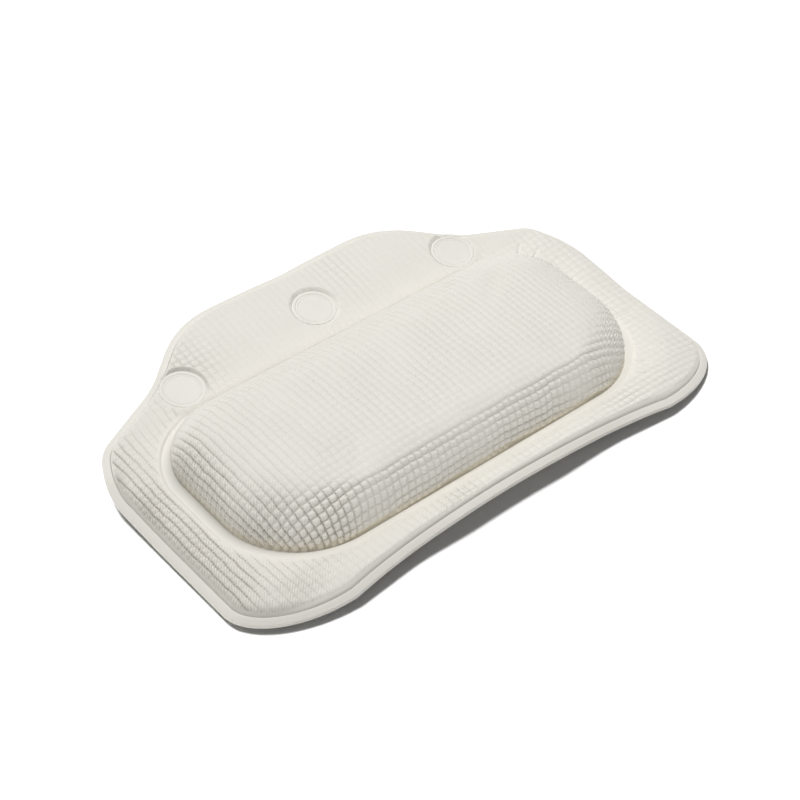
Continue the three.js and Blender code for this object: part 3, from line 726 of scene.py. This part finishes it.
def wavyPlan(plan):
    # emboss lines wander a little: u counts the ribs, v the strokes across them
    w = waffle
    shaken = w["shake"] * waveNoise(topX, topY, w["shakeSize"], w["seed"] + 3)
    sizeU, sizeV = w["wanderSizes"]
    u = (plan[..., 0] + w["wander"] * waveNoise(topX, topY, sizeU, w["seed"]) + shaken) / w["pitch"]
    v = (plan[..., 1] + w["wander"] * waveNoise(topX, topY, sizeV, w["seed"] + 1) - shaken) / w["pitch"]
    return u, v + w["slant"] * (u - np.floor(u) - 0.5)


shade = {
    "glowRise": 4.0, "glowFrontZone": (-0.4, 0.6),  # painted yellowish glow at the foot and in the fold
    "foldGlow": 0.15, "foldWidth": 1.2, "foldEndZone": (-110, 20),
    "foot": 0.75, "footAt": 0.1, "footWidth": 0.35, "footLeast": 0.6, "footRows": (0.6, 0.25),
    "leftEdge": 0.45, "leftEdgeAt": 0.8, "leftEdgeWidth": 3.0, "leftEdgeZone": (125, 25),
    "belowFlapZone": (-60, 12),
    "rim": 0.45, "rimWidth": 0.25,
    "outer": 0.13, "outerRun": 0.5, "outerLeftZone": (60, 80),
    "outerFrontZone": (40, 25), "outerRightZone": (70, 40),
    "channel": 0.12, "channelAt": 0.2, "channelWidth": 0.35,
    "crease": 0.16, "creaseLess": 0.07, "creaseLessZone": (-60, 80),
    "creaseWidth": 2.5, "creaseEndZone": (-112, 16),
    "leftEnd": 0.42, "leftEndRows": 10, "leftEndFade": 4,
    "leftEndZone": (0.1, 0.5), "leftEndFrontZone": (-0.7, 0.5),
    "dish": 0.6, "dishAt": 1.0, "dishWidth": 0.8, "dishSide": (0.8, 0.6), "dishTurn": 0.7,
}


def paintedGlowMap():
    # painted light: a yellowish glow standing in for light bounced off the floor and through the thin foam,
    # at the foot of the front and end walls, nearly gone 6 mm up, and a little of it in the fold
    s = shade
    x, y = borderX, borderY
    dome = bell(domeUp, s["glowRise"]) * ramp(-footNormal[:, 1], s["glowFrontZone"])
    fold = s["foldGlow"] * bell(y - pad["crease"], s["foldWidth"]) * ramp(-np.abs(x), s["foldEndZone"])
    return np.vstack([fold, dome])


def paintedShadeMap():
    # bells of painted shade at the bolster's foot, the rim, the channel, the crease and the left edge, and an
    # even painted shade on the rim at the left and in front; the darkest of them holds
    s = shade
    x, y = borderX, borderY
    pressed = footPress / pad["footLine"]
    fromRim = borderEdge - pad["rim"]
    belowFlap = ramp(-y, s["belowFlapZone"])
    foot = s["foot"] * bell(borderFoot - s["footAt"], s["footWidth"]) * np.maximum(pressed, s["footLeast"])
    leftEdge = s["leftEdge"] * (ramp(-x, s["leftEdgeZone"]) * belowFlap)
    foot = np.maximum(foot, leftEdge * bell(fromRim - s["leftEdgeAt"], s["leftEdgeWidth"]) * (fromRim > 0))
    rim = s["rim"] * bell(fromRim, s["rimWidth"])
    outerFront = ramp(-y, s["outerFrontZone"]) * (1 - ramp(x, s["outerRightZone"]))
    outer = np.maximum(ramp(-x, s["outerLeftZone"]) * belowFlap, outerFront)
    rim = np.maximum(rim, s["outer"] * outer * ease(-fromRim / s["outerRun"]))
    channel = bell(borderFoot - channelWidth - s["channelAt"], s["channelWidth"])
    channel = s["channel"] * channel * np.abs(footNormal[:, 0])
    crease = s["crease"] - s["creaseLess"] * ramp(x, s["creaseLessZone"])
    crease = crease * bell(y - pad["crease"], s["creaseWidth"]) * ramp(-np.abs(x), s["creaseEndZone"])
    rim = np.maximum(rim, np.maximum(channel, crease))
    # painted shade in the left disc's dish, on the side towards the flap's middle
    dishX, dishY = x - cupPlan["left"][0], y - cupPlan["left"][1]
    away = np.hypot(dishX, dishY)
    side = (s["dishSide"][0] * dishX + s["dishSide"][1] * dishY) / np.maximum(away, 1)
    dish = s["dish"] * ease(side / s["dishTurn"])
    dish = dish * bell(away - cover["dishRadius"] - s["dishAt"], s["dishWidth"])
    rim = np.maximum(rim, dish)
    # painted shade on the wall's first rows where the foot is pressed in, and at the left end
    dome = np.zeros(domeGrid.shape[:2])
    dome[:len(s["footRows"])] = np.array(s["footRows"])[:, None] * pressed
    atLeftEnd = ramp(-footNormal[:, 0], s["leftEndZone"]) * ramp(-footNormal[:, 1], s["leftEndFrontZone"])
    lowRows = s["leftEnd"] * bell(np.arange(s["leftEndRows"])[:, None], s["leftEndFade"]) * atLeftEnd
    dome[:s["leftEndRows"]] = np.maximum(dome[:s["leftEndRows"]], lowRows)
    return np.vstack([np.maximum(foot, rim), dome])


drawing = {
    "softLess": 0.75, "boldest": 1.8,
    "left": 0.9, "leftZone": (75, 45), "leftFront": 1.2, "leftFrontZone": (50, 20),
    "dome": 0.45, "domeFrontZone": (-40, 25),
    "flap": 1.2, "flapLeftZone": (30, 40), "flapEndZone": (-116, 10), "flapZone": (66, 8),
}


def drawnLines(soft):
    # how bold the lines are drawn, in their depth and their painted groove shade: fainter on soft cells,
    # bolder at the left; returns that, and how much bolder the cross strokes are on the flap's left
    d = drawing
    left = ramp(-topX, d["leftZone"]) * (1 - d["leftFront"] * ramp(-topY, d["leftFrontZone"]))
    left[borderRows:] *= d["dome"] * ramp(domeY, d["domeFrontZone"])
    flapLeft = ramp(-topX, d["flapLeftZone"]) * ramp(topX, d["flapEndZone"]) * ramp(topY, d["flapZone"])
    return (1 - d["softLess"] * soft) * (1 + d["left"] * left), 1 + d["flap"] * flapLeft


def frontCover():
    # top grid, puffed, then sunk along its normals by the emboss, and closed by an underside
    w = waffle
    grid = topGrid + puffed(topGrid)
    ribs, strokes, twist, soft = embossDepth()
    u, v = wavyPlan(wovenPlan(topGrid))
    # rounded cells: a power of |sin| between sharp grooves at whole u, another between those at whole v;
    # where the cells are soft, both powers are near 2
    ribGroove = 1 - np.abs(np.sin(np.pi * u)) ** (w["ribPower"][0] + w["ribPower"][1] * soft)
    strokeGroove = 1 - np.abs(np.sin(np.pi * v)) ** (w["strokePower"][0] + w["strokePower"][1] * soft)
    strokeGroove = strokeGroove * (1 - w["strokeHide"] * ribGroove)
    height = w["ribDepth"] * ribs * ribGroove + w["crossDepth"] * strokes * strokeGroove
    grid = grid - gridNormals(grid) * height[..., None]
    # underside, from the hollow's middle out to the rim
    hollowHeight = bolster["height"] + hollowLift - bolster["foam"]
    hollow = domeRings(bolster["foam"], pad["foamFoot"], hollowHeight, *bolster["hollowRings"])
    flat = [outRing(fromFoot=out) for out in cover["underRings"]]
    flat += between(flat[-1], outRing(fromEdge=cover["underEdge"]), cover["underSteps"])
    under = np.concatenate([hollow[::-1], [atLevel(ring, pad["foamFoot"]) for ring in flat]])
    whole = np.concatenate([under, grid])
    blank = np.zeros((len(under), count))
    weave = np.stack([np.vstack([blank, u]), np.vstack([blank, v])], -1).reshape(-1, 2)
    drawn, flapGain = drawnLines(soft)
    # the last two painted values are painted light: a yellowish glow, and shade at the welds, the crease and
    # the dish
    painted = {"ribs": np.minimum(ribs * drawn, drawing["boldest"]), "strokes": strokes * drawn * flapGain,
               "twist": twist, "paintedGlow": paintedGlowMap(), "paintedShade": paintedShadeMap()}
    painted = {label: np.vstack([blank, values]).ravel() for label, values in painted.items()}
    return ringMesh("frontCover", whole, weave, painted)


coverPiece = frontCover()
print("front cover:", len(coverPiece.data.polygons), "faces")

# Back cover: thin smooth sheet, with a hole for each cup's neck.
backing = {
    "edge": (0.3, 0.06, 0.0), "edgeRise": (0.25, 0.6),  # rounded edge: ways in, and heights
    "rings": (1.5, 3.0, 4.5, 6.0, 8.0), "inFromEdge": 1.5, "outSteps": 14, "middleRings": (5, 8),
    "holeRadius": 4.5, "drillReach": 8, "drillSegments": 48, "fill": 0.2,
}


def backCover():
    # flat rings from the middle out, over the rounded edge and back in; a boolean cut takes out each hole
    q, sheet = backing, pad["backSheet"]
    outward = [outRing(fromFoot=out) for out in q["rings"]]
    steps = np.arange(1, q["outSteps"] + 1) / q["outSteps"]
    outward += between(outward[-1], outRing(fromEdge=q["inFromEdge"]), steps)
    flat = list(domeRings(0, 0, bolster["pressedFlat"], *q["middleRings"])[::-1, :, :2]) + outward
    far, mid, out = q["edge"]
    low, half = q["edgeRise"]
    edge = [(far, 0.0), (mid, low), (out, half), (mid, sheet - low), (far, sheet)]
    rings = [atLevel(ring, 0.0) for ring in flat]
    rings += [atLevel(outRing(fromEdge=inward), up) for inward, up in edge]
    rings += [atLevel(ring, sheet) for ring in flat[::-1]]
    piece = ringMesh("backCover", np.array(rings))
    radius, reach = q["holeRadius"], q["drillReach"]
    for side, plan in cupPlan.items():
        profile = [(0, -reach), (radius, -reach), (radius, reach), (0, reach)]
        drill = turnedPiece("drill" + side, profile, plan, q["drillSegments"])
        cut = piece.modifiers.new("hole" + side, "BOOLEAN")
        cut.operation, cut.solver, cut.object = "DIFFERENCE", "EXACT", drill
    done = bpy.data.meshes.new_from_object(piece.evaluated_get(bpy.context.evaluated_depsgraph_get()))
    piece.modifiers.clear()
    piece.data = done
    for side in cupPlan:
        bpy.data.objects.remove(bpy.data.objects["drill" + side])
    return piece


backPiece = backCover()
print("back cover:", len(backPiece.data.polygons), "faces")


# Foam block inside the bolster: the bolster's own rings, set in by the sheet and a small gap.
def bolsterCore():
    skin = bolster["foam"] + bolster["gap"]
    dome = domeRings(skin, pad["foamFoot"], bolster["height"] + hollowLift - skin, *bolster["coreRings"])
    base = domeRings(skin, pad["foamFoot"], bolster["pressedFlat"], *bolster["coreFloorRings"])
    return ringMesh("bolsterCore", np.concatenate([base[::-1], dome[1:]]))


corePiece = bolsterCore()

# Anchor discs: raised round ring, groove, fine inner ring and a bare flat middle.
disc = {
    "radius": 12.3, "foot": 3.2, "footRound": 0.15, "top": 4.95,
    "ringOut": 12.75, "ringFoot": 5.03, "ringRise": 0.3, "ringWidth": 2.0, "ringPower": 0.8,
    "innerRing": 9.9, "innerRise": 0.14, "innerWidth": 0.8,
    "middle": (9.4, 9.3, 9.1, 8.6, 6.0, 3.0, 0), "arcPoints": 13,
}


def discProfile():
    # both rings are arches over half a turn; the outer one comes down from its own foot to the disc's top
    d = disc
    arc = np.linspace(0, np.pi, d["arcPoints"])
    fall = d["top"] - d["ringFoot"]
    outer = [(d["ringOut"] - d["ringWidth"] / 2 * (1 - np.cos(a)),
              d["ringFoot"] + fall * a / np.pi + d["ringRise"] * np.sin(a) ** d["ringPower"]) for a in arc]
    inner = [(d["innerRing"] + d["innerWidth"] / 2 * np.cos(a),
              d["top"] + d["innerRise"] * np.sin(a)) for a in arc]
    foot = [(0, d["foot"]), (d["radius"] - d["footRound"], d["foot"]),
            (d["radius"], d["foot"] + d["footRound"]), (d["radius"], d["ringFoot"])]
    middle = [(radius, d["top"]) for radius in d["middle"]]
    return foot + outer + inner + middle


discPieces = {side: turnedPiece("anchorDisc_" + side, discProfile(), plan) for side, plan in cupPlan.items()}

# Suction cups: flange, neck and bell with a rolled lip.
cup = {
    "radius": 16.5, "lip": 1.6, "lipFlat": 0.7, "lipRound": (0.2, 0.25), "wall": 2.0,
    "neck": 4.0, "neckLength": 6.3, "bellDepth": 8.3, "bellCurve": 1.3, "bellPoints": 20,
    "flange": 9.8, "flangeFoot": 1.5, "flangeTop": 2.9, "flangeRound": 0.2, "collar": 0.4, "collarFoot": -2.0,
}


def cupProfile():
    # a quarter ellipse inside the bell, the lip, a flatter quarter curve outside, the neck and the flange
    q = cup
    height = q["neckLength"] + q["bellDepth"]
    angle = np.linspace(0, np.pi / 2, q["bellPoints"])
    innerRadius, innerDepth = q["radius"] - q["lip"], q["bellDepth"] - q["wall"]
    inner = [(innerRadius * np.sin(a), innerDepth * np.cos(a) - height) for a in angle]
    spread = q["radius"] - q["neck"]
    outer = [(q["neck"] + spread * np.sin(a) ** q["bellCurve"], q["bellDepth"] * np.cos(a) - height)
             for a in angle[::-1]]
    lipIn, lipUp = q["lipRound"]
    lip = [(q["radius"] - q["lip"] * q["lipFlat"], -height), (q["radius"] - lipIn, -height),
           (q["radius"], lipUp - height)]
    collar = [(q["neck"], q["collarFoot"]), (q["neck"], q["flangeFoot"] - q["collar"]),
              (q["neck"] + q["collar"], q["flangeFoot"])]
    edge = q["flangeRound"]
    flange = [(q["flange"] - edge, q["flangeFoot"]), (q["flange"], q["flangeFoot"] + edge),
              (q["flange"], q["flangeTop"] - edge), (q["flange"] - edge, q["flangeTop"]), (0, q["flangeTop"])]
    return inner + lip + outer[2:] + collar + flange


cupPieces = {side: turnedPiece("suctionCup_" + side, cupProfile(), plan) for side, plan in cupPlan.items()}
print("discs and cups made")


# Materials.
class NodeBench:
    # short ways to add the few kinds of node used here
    def __init__(self, tree):
        self.nodes, self.links = tree.nodes, tree.links

    def calc(self, operation, a, b=None):
        # one Math node; a and b are sockets or numbers
        node = self.nodes.new("ShaderNodeMath")
        node.operation = operation
        for slot, value in enumerate((a, b)):
            if isinstance(value, (int, float)):
                node.inputs[slot].default_value = value
            elif value is not None:
                self.links.new(value, node.inputs[slot])
        return node.outputs[0]

    def scaled(self, value, low, span):
        # low + span * value
        return self.calc("ADD", low, self.calc("MULTIPLY", value, span))

    def feed(self, label, socket):
        # into one of the material's shader inputs
        self.links.new(socket, self.nodes["Principled BSDF"].inputs[label])

    def objectPlace(self):
        return self.nodes.new("ShaderNodeTexCoord").outputs["Object"]

    def painted(self, label):
        node = self.nodes.new("ShaderNodeAttribute")
        node.attribute_name = label
        return node.outputs["Fac"]

    def noise(self, vector, scale, detail):
        node = self.nodes.new("ShaderNodeTexNoise")
        node.inputs["Scale"].default_value = scale
        node.inputs["Detail"].default_value = detail
        self.links.new(vector, node.inputs["Vector"])
        return node.outputs["Fac"]

    def bump(self, height, distance, strength, before=None):
        node = self.nodes.new("ShaderNodeBump")
        node.inputs["Distance"].default_value = distance
        node.inputs["Strength"].default_value = strength
        self.links.new(height, node.inputs["Height"])
        if before is not None:
            self.links.new(before, node.inputs["Normal"])
        return node.outputs["Normal"]

    def blend(self, factor, first, second):
        # from the first colour, a socket or a colour, to the second colour
        node = self.nodes.new("ShaderNodeMix")
        node.data_type = "RGBA"
        self.links.new(factor, node.inputs["Factor"])
        if isinstance(first, tuple):
            node.inputs["A"].default_value = (*first, 1)
        else:
            self.links.new(first, node.inputs["A"])
        node.inputs["B"].default_value = (*second, 1)
        return node.outputs["Result"]


def newMaterial(name, colour, roughness, level):
    material = bpy.data.materials.new(name)
    material.use_nodes = True
    bench = NodeBench(material.node_tree)
    shader = bench.nodes["Principled BSDF"]
    shader.inputs["Base Color"].default_value = (*colour, 1)
    shader.inputs["Roughness"].default_value = roughness
    shader.inputs["Specular IOR Level"].default_value = level
    return material, bench


foamLook = {
    # the second colour is painted shade in the grooves, with faint random blotches; the third a painted glow;
    # the fourth painted shade
    "colour": (0.79, 0.765, 0.71), "deep": (0.40, 0.37, 0.30),
    "paintedGlowColour": (0.81, 0.755, 0.62), "paintedShade": (0.20, 0.18, 0.14),
    "roughness": 0.55, "level": 0.3, "gloss": 0.46, "grooveGloss": 0.12, "blotchGloss": 0.08,
    "ribSharp": 16, "strokeSharp": 14, "twistSharp": 4, "twistAcross": 2.6, "twistAlong": 2.1,
    "dashLow": 0.45, "dashHigh": 0.6, "strokeShare": 0.8, "twistShare": 0.55,
    "grooveShadeAndBlotch": 0.45, "blotch": 0.1, "blotchScale": 55, "paintedShadeShare": 0.8,
    "grooveDepth": 0.00035, "grooveStrength": 0.9,
    "grainScale": 850, "grainDepth": 0.0003, "grainStrength": 0.5,
}


def embossedFoam():
    # lines at whole numbers of the weave's u and v sink the foam and carry painted shade in its grooves;
    # a painted glow and painted shade tint it
    f = foamLook
    material, bench = newMaterial("embossedFoam", f["colour"], f["roughness"], f["level"])
    calc, link = bench.calc, bench.links.new
    place3 = bench.objectPlace()
    weaveMap = bench.nodes.new("ShaderNodeUVMap")
    weaveMap.uv_map = "weave"
    split = bench.nodes.new("ShaderNodeSeparateXYZ")
    link(weaveMap.outputs["UV"], split.inputs["Vector"])
    u, v = split.outputs["X"], split.outputs["Y"]

    def groove(counter, depth, sharp):
        # thin groove at each whole number: |cos|^sharp times the depth painted on the sheet
        wave = calc("ABSOLUTE", calc("COSINE", calc("MULTIPLY", counter, math.pi)))
        return calc("MULTIPLY", calc("POWER", wave, sharp), depth)

    ribDepth = bench.painted("ribs")
    ribLine = groove(u, ribDepth, f["ribSharp"])
    strokeLine = groove(v, bench.painted("strokes"), f["strokeSharp"])
    # rope twist: slanted strokes that start at a different place in each rib
    ribNumber = bench.nodes.new("ShaderNodeTexWhiteNoise")
    ribNumber.noise_dimensions = "1D"
    link(calc("FLOOR", u), ribNumber.inputs["W"])
    across = calc("MULTIPLY", calc("FRACT", u), f["twistAcross"])
    slanted = calc("SUBTRACT", across, calc("MULTIPLY", v, f["twistAlong"]))
    slanted = calc("ADD", slanted, ribNumber.outputs["Value"])
    twistLine = groove(slanted, bench.painted("twist"), f["twistSharp"])
    # the lines between the ribs are dashes, two to a cell
    dash = calc("ABSOLUTE", calc("SINE", calc("MULTIPLY", v, 2 * math.pi)))
    ribLine = calc("MULTIPLY", ribLine, bench.scaled(dash, f["dashLow"], f["dashHigh"]))
    strokeLine = calc("MULTIPLY", strokeLine, f["strokeShare"])
    twistLine = calc("MULTIPLY", twistLine, f["twistShare"])
    lines = calc("MAXIMUM", ribLine, calc("MAXIMUM", strokeLine, twistLine))
    blotch = bench.noise(place3, f["blotchScale"], detail=4)
    # painted shade in the grooves, plus a faint random blotchy tone
    grooveShadeAndBlotch = bench.scaled(blotch, calc("MULTIPLY", lines, f["grooveShadeAndBlotch"]), f["blotch"])
    colour = bench.blend(grooveShadeAndBlotch, f["colour"], f["deep"])
    # painted glow: a yellowish tint standing in for bounced light at the foot and in the fold
    colour = bench.blend(bench.painted("paintedGlow"), colour, f["paintedGlowColour"])
    # painted shade: darker at the foot, the rim, the channel, the crease, the left disc's dish and the left
    # end's foot
    colour = bench.blend(calc("MULTIPLY", bench.painted("paintedShade"), f["paintedShadeShare"]), colour, f["paintedShade"])
    bench.feed("Base Color", colour)
    gloss = bench.scaled(ribDepth, f["gloss"], f["grooveGloss"])
    bench.feed("Roughness", bench.scaled(blotch, gloss, f["blotchGloss"]))
    grain = bench.bump(bench.noise(place3, f["grainScale"], detail=2), f["grainDepth"], f["grainStrength"])
    sunk = calc("MULTIPLY", lines, -1.0)
    bench.feed("Normal", bench.bump(sunk, f["grooveDepth"], f["grooveStrength"], grain))
    return material


vinylLook = {"back": ((0.74, 0.72, 0.665), 0.45, 700),  # colour, roughness, scale of the grain
             "disc": ((0.785, 0.762, 0.708), 0.5, 900),
             "level": 0.45, "shadeShare": 0.93, "blotchScale": 40, "glossLess": 0.05, "glossSpan": 0.1,
             "grainDepth": 0.00012, "grainStrength": 0.2}


def smoothVinyl(name, colour, roughness, grainScale):
    # faint blotches in colour and gloss, over a fine grain
    q = vinylLook
    material, bench = newMaterial(name, colour, roughness, q["level"])
    place3 = bench.objectPlace()
    blotch = bench.noise(place3, q["blotchScale"], detail=4)
    shaded = tuple(c * q["shadeShare"] for c in colour)
    bench.feed("Base Color", bench.blend(blotch, colour, shaded))
    bench.feed("Roughness", bench.scaled(blotch, roughness - q["glossLess"], q["glossSpan"]))
    grain = bench.noise(place3, grainScale, detail=3)
    bench.feed("Normal", bench.bump(grain, q["grainDepth"], q["grainStrength"]))
    return material


cupLook = {"colour": (0.86, 0.88, 0.85), "roughness": 0.22, "level": 0.5, "clear": 0.75, "index": 1.5,
           "cloudScale": 90, "gloss": 0.16, "glossSpan": 0.14}


def clearVinyl():
    # mostly clear, with a cloudy gloss
    q = cupLook
    material, bench = newMaterial("clearVinyl", q["colour"], q["roughness"], q["level"])
    shader = bench.nodes["Principled BSDF"]
    shader.inputs["Transmission Weight"].default_value = q["clear"]
    shader.inputs["IOR"].default_value = q["index"]
    cloud = bench.noise(bench.objectPlace(), q["cloudScale"], detail=3)
    bench.feed("Roughness", bench.scaled(cloud, q["gloss"], q["glossSpan"]))
    return material


coreLook = {"colour": (0.87, 0.82, 0.58), "roughness": 0.9, "level": 0.2,
            "cellScale": 900, "cellDepth": 0.0004, "cellStrength": 0.7}


def openFoam():
    # pores are the distance to the nearest of many scattered points
    q = coreLook
    material, bench = newMaterial("openFoam", q["colour"], q["roughness"], q["level"])
    cells = bench.nodes.new("ShaderNodeTexVoronoi")
    cells.inputs["Scale"].default_value = q["cellScale"]
    bench.links.new(bench.objectPlace(), cells.inputs["Vector"])
    bench.feed("Normal", bench.bump(cells.outputs["Distance"], q["cellDepth"], q["cellStrength"]))
    return material


foamMaterial = embossedFoam()
backMaterial = smoothVinyl("backVinyl", *vinylLook["back"])
discMaterial = smoothVinyl("discVinyl", *vinylLook["disc"])
cupMaterial = clearVinyl()
coreMaterial = openFoam()

coverPiece.data.materials.append(foamMaterial)
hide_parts("front_cover_body", "front_cover_flap")
backPiece.data.materials.append(backMaterial)
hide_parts("back_cover_body", "back_cover_flap")
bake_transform(coverPiece)
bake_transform(backPiece)
corePiece.data.materials.append(coreMaterial)
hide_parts("bolster_core")
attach(corePiece, "headrest")
for side in cupPlan:
    discPieces[side].data.materials.append(discMaterial)
    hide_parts("anchor_disc_" + side)
    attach(discPieces[side], "flap")
    cupPieces[side].data.materials.append(cupMaterial)
    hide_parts("suction_cup_" + side)
    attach(cupPieces[side], "cup_" + side)
print("pieces ride on their bodies")

# Floor, light and camera.
studio = {
    "world": 0.15,
    # lamps on the pillow: watts, place, size in metres, whether it casts shadows
    "lamps": {
        "key": (16.9, (0.7, -0.25, 1.75), 0.9, True),
        "rear": (15.0, (0.36, 1.2, 2.05), 0.7, False),
        "shading": (9.0, (0.36, 1.2, 2.05), 1.2, True),
        "behind": (11.0, (-1.0, 2.1, 0.8), 1.0, False),
        "fill": (14.0, (-2.1, -0.7, 0.6), 1.0, False),
        "under": (1.0, (0.2, -0.4, -1.6), 1.2, False),
    },
    "sun": (4.9, (-0.05, 0.48, 0.87), 16.0),  # on the floor: strength, from, degrees wide
    "floorHalf": 6, "floorLevel": -0.0004,
    "floorLook": ((0.85, 0.85, 0.85), 0.9, 0.1),  # colour, roughness, specular level
}


def floor():
    # white from above, clear from below
    half, level = studio["floorHalf"], studio["floorLevel"]
    corners = [(-half, -half, level), (half, -half, level), (half, half, level), (-half, half, level)]
    mesh = bpy.data.meshes.new("floor")
    mesh.from_pydata(corners, [], [(0, 1, 2, 3)])
    piece = inScene("floor", mesh)
    material, bench = newMaterial("whiteFloor", *studio["floorLook"])
    clear = bench.nodes.new("ShaderNodeBsdfTransparent")
    fromBelow = bench.nodes.new("ShaderNodeNewGeometry").outputs["Backfacing"]
    eitherShader(bench, "Material Output", fromBelow, bench.nodes["Principled BSDF"], clear)
    piece.data.materials.append(material)
    return piece


def eitherShader(bench, output, factor, first, second):
    # mix of two shaders, to the tree's output
    mix = bench.nodes.new("ShaderNodeMixShader")
    bench.links.new(factor, mix.inputs[0])
    bench.links.new(first.outputs[0], mix.inputs[1])
    bench.links.new(second.outputs[0], mix.inputs[2])
    bench.links.new(mix.outputs[0], bench.nodes[output].inputs["Surface"])


def world():
    # dim white light, seen as plain white by the camera and through the cups
    made = bpy.data.worlds.new("studio")
    scene.world = made
    made.use_nodes = True
    bench = NodeBench(made.node_tree)
    soft = bench.nodes["Background"]
    soft.inputs["Color"].default_value = (1, 1, 1, 1)
    soft.inputs["Strength"].default_value = studio["world"]
    white = bench.nodes.new("ShaderNodeBackground")
    white.inputs["Strength"].default_value = 1.0
    light = bench.nodes.new("ShaderNodeLightPath")
    seen = bench.calc("MAXIMUM", light.outputs["Is Camera Ray"], light.outputs["Is Transmission Ray"])
    eitherShader(bench, "World Output", seen, soft, white)


def setAxes(holder, right, up, back, spot):
    # matrix of an object from its three axes and its place
    rows = np.eye(4)
    rows[:3, 0], rows[:3, 1], rows[:3, 2], rows[:3, 3] = right, up, back, spot
    holder.matrix_world = Matrix(rows.tolist())


def lampOn(name, kind, power, spot, size, lit, shadow=True):
    # a lamp aimed at the origin that lights only the objects in one collection
    lamp = bpy.data.lights.new(name, kind)
    lamp.energy = power
    lamp.use_shadow = shadow
    if kind == "AREA":
        lamp.shape = "DISK"
        lamp.size = size
    else:
        lamp.angle = math.radians(size)
    holder = inScene(name, lamp)
    holder.light_linking.receiver_collection = lit
    back = np.array(spot) / np.linalg.norm(spot)
    right = np.cross((0, 0, 1), back)
    right /= np.linalg.norm(right)
    setAxes(holder, right, np.cross(back, right), back, spot)


# angles in degrees, focal length and frame in pixels, distances in metres
view = {"azimuth": -39.12, "elevation": 41.45, "roll": -0.584, "focal": 1839.1, "distance": 1.00362,
        "target": (-0.00278, -0.00860, 0.01024), "frame": 800, "sensor": 36, "clip": (0.01, 50)}


def camera():
    # looks back at the target along the azimuth and the elevation, rolled about its own axis
    lens = bpy.data.cameras.new("camera")
    lens.sensor_width = view["sensor"]
    lens.lens = view["focal"] * view["sensor"] / view["frame"]
    lens.clip_start, lens.clip_end = view["clip"]
    holder = inScene("camera", lens)
    a, e, r = (math.radians(view[k]) for k in ("azimuth", "elevation", "roll"))
    back = np.array([math.sin(a) * math.cos(e), -math.cos(a) * math.cos(e), math.sin(e)])
    right = np.array([math.cos(a), math.sin(a), 0])
    up = np.cross(back, right)
    setAxes(holder, right * math.cos(r) + up * math.sin(r), up * math.cos(r) - right * math.sin(r), back,
            np.array(view["target"]) + back * view["distance"])
    scene.camera = holder


paper = bpy.data.collections.new("paper")
paper.objects.link(floor())
pillow = bpy.data.collections.new("pillow")
for piece in (coverPiece, backPiece, corePiece, *discPieces.values(), *cupPieces.values()):
    pillow.objects.link(piece)
world()
for name, (power, spot, size, shadow) in studio["lamps"].items():
    lampOn(name, "AREA", power, spot, size, pillow, shadow)
lampOn("sun", "SUN", *studio["sun"], paper)
camera()
print("stage, light and camera set")
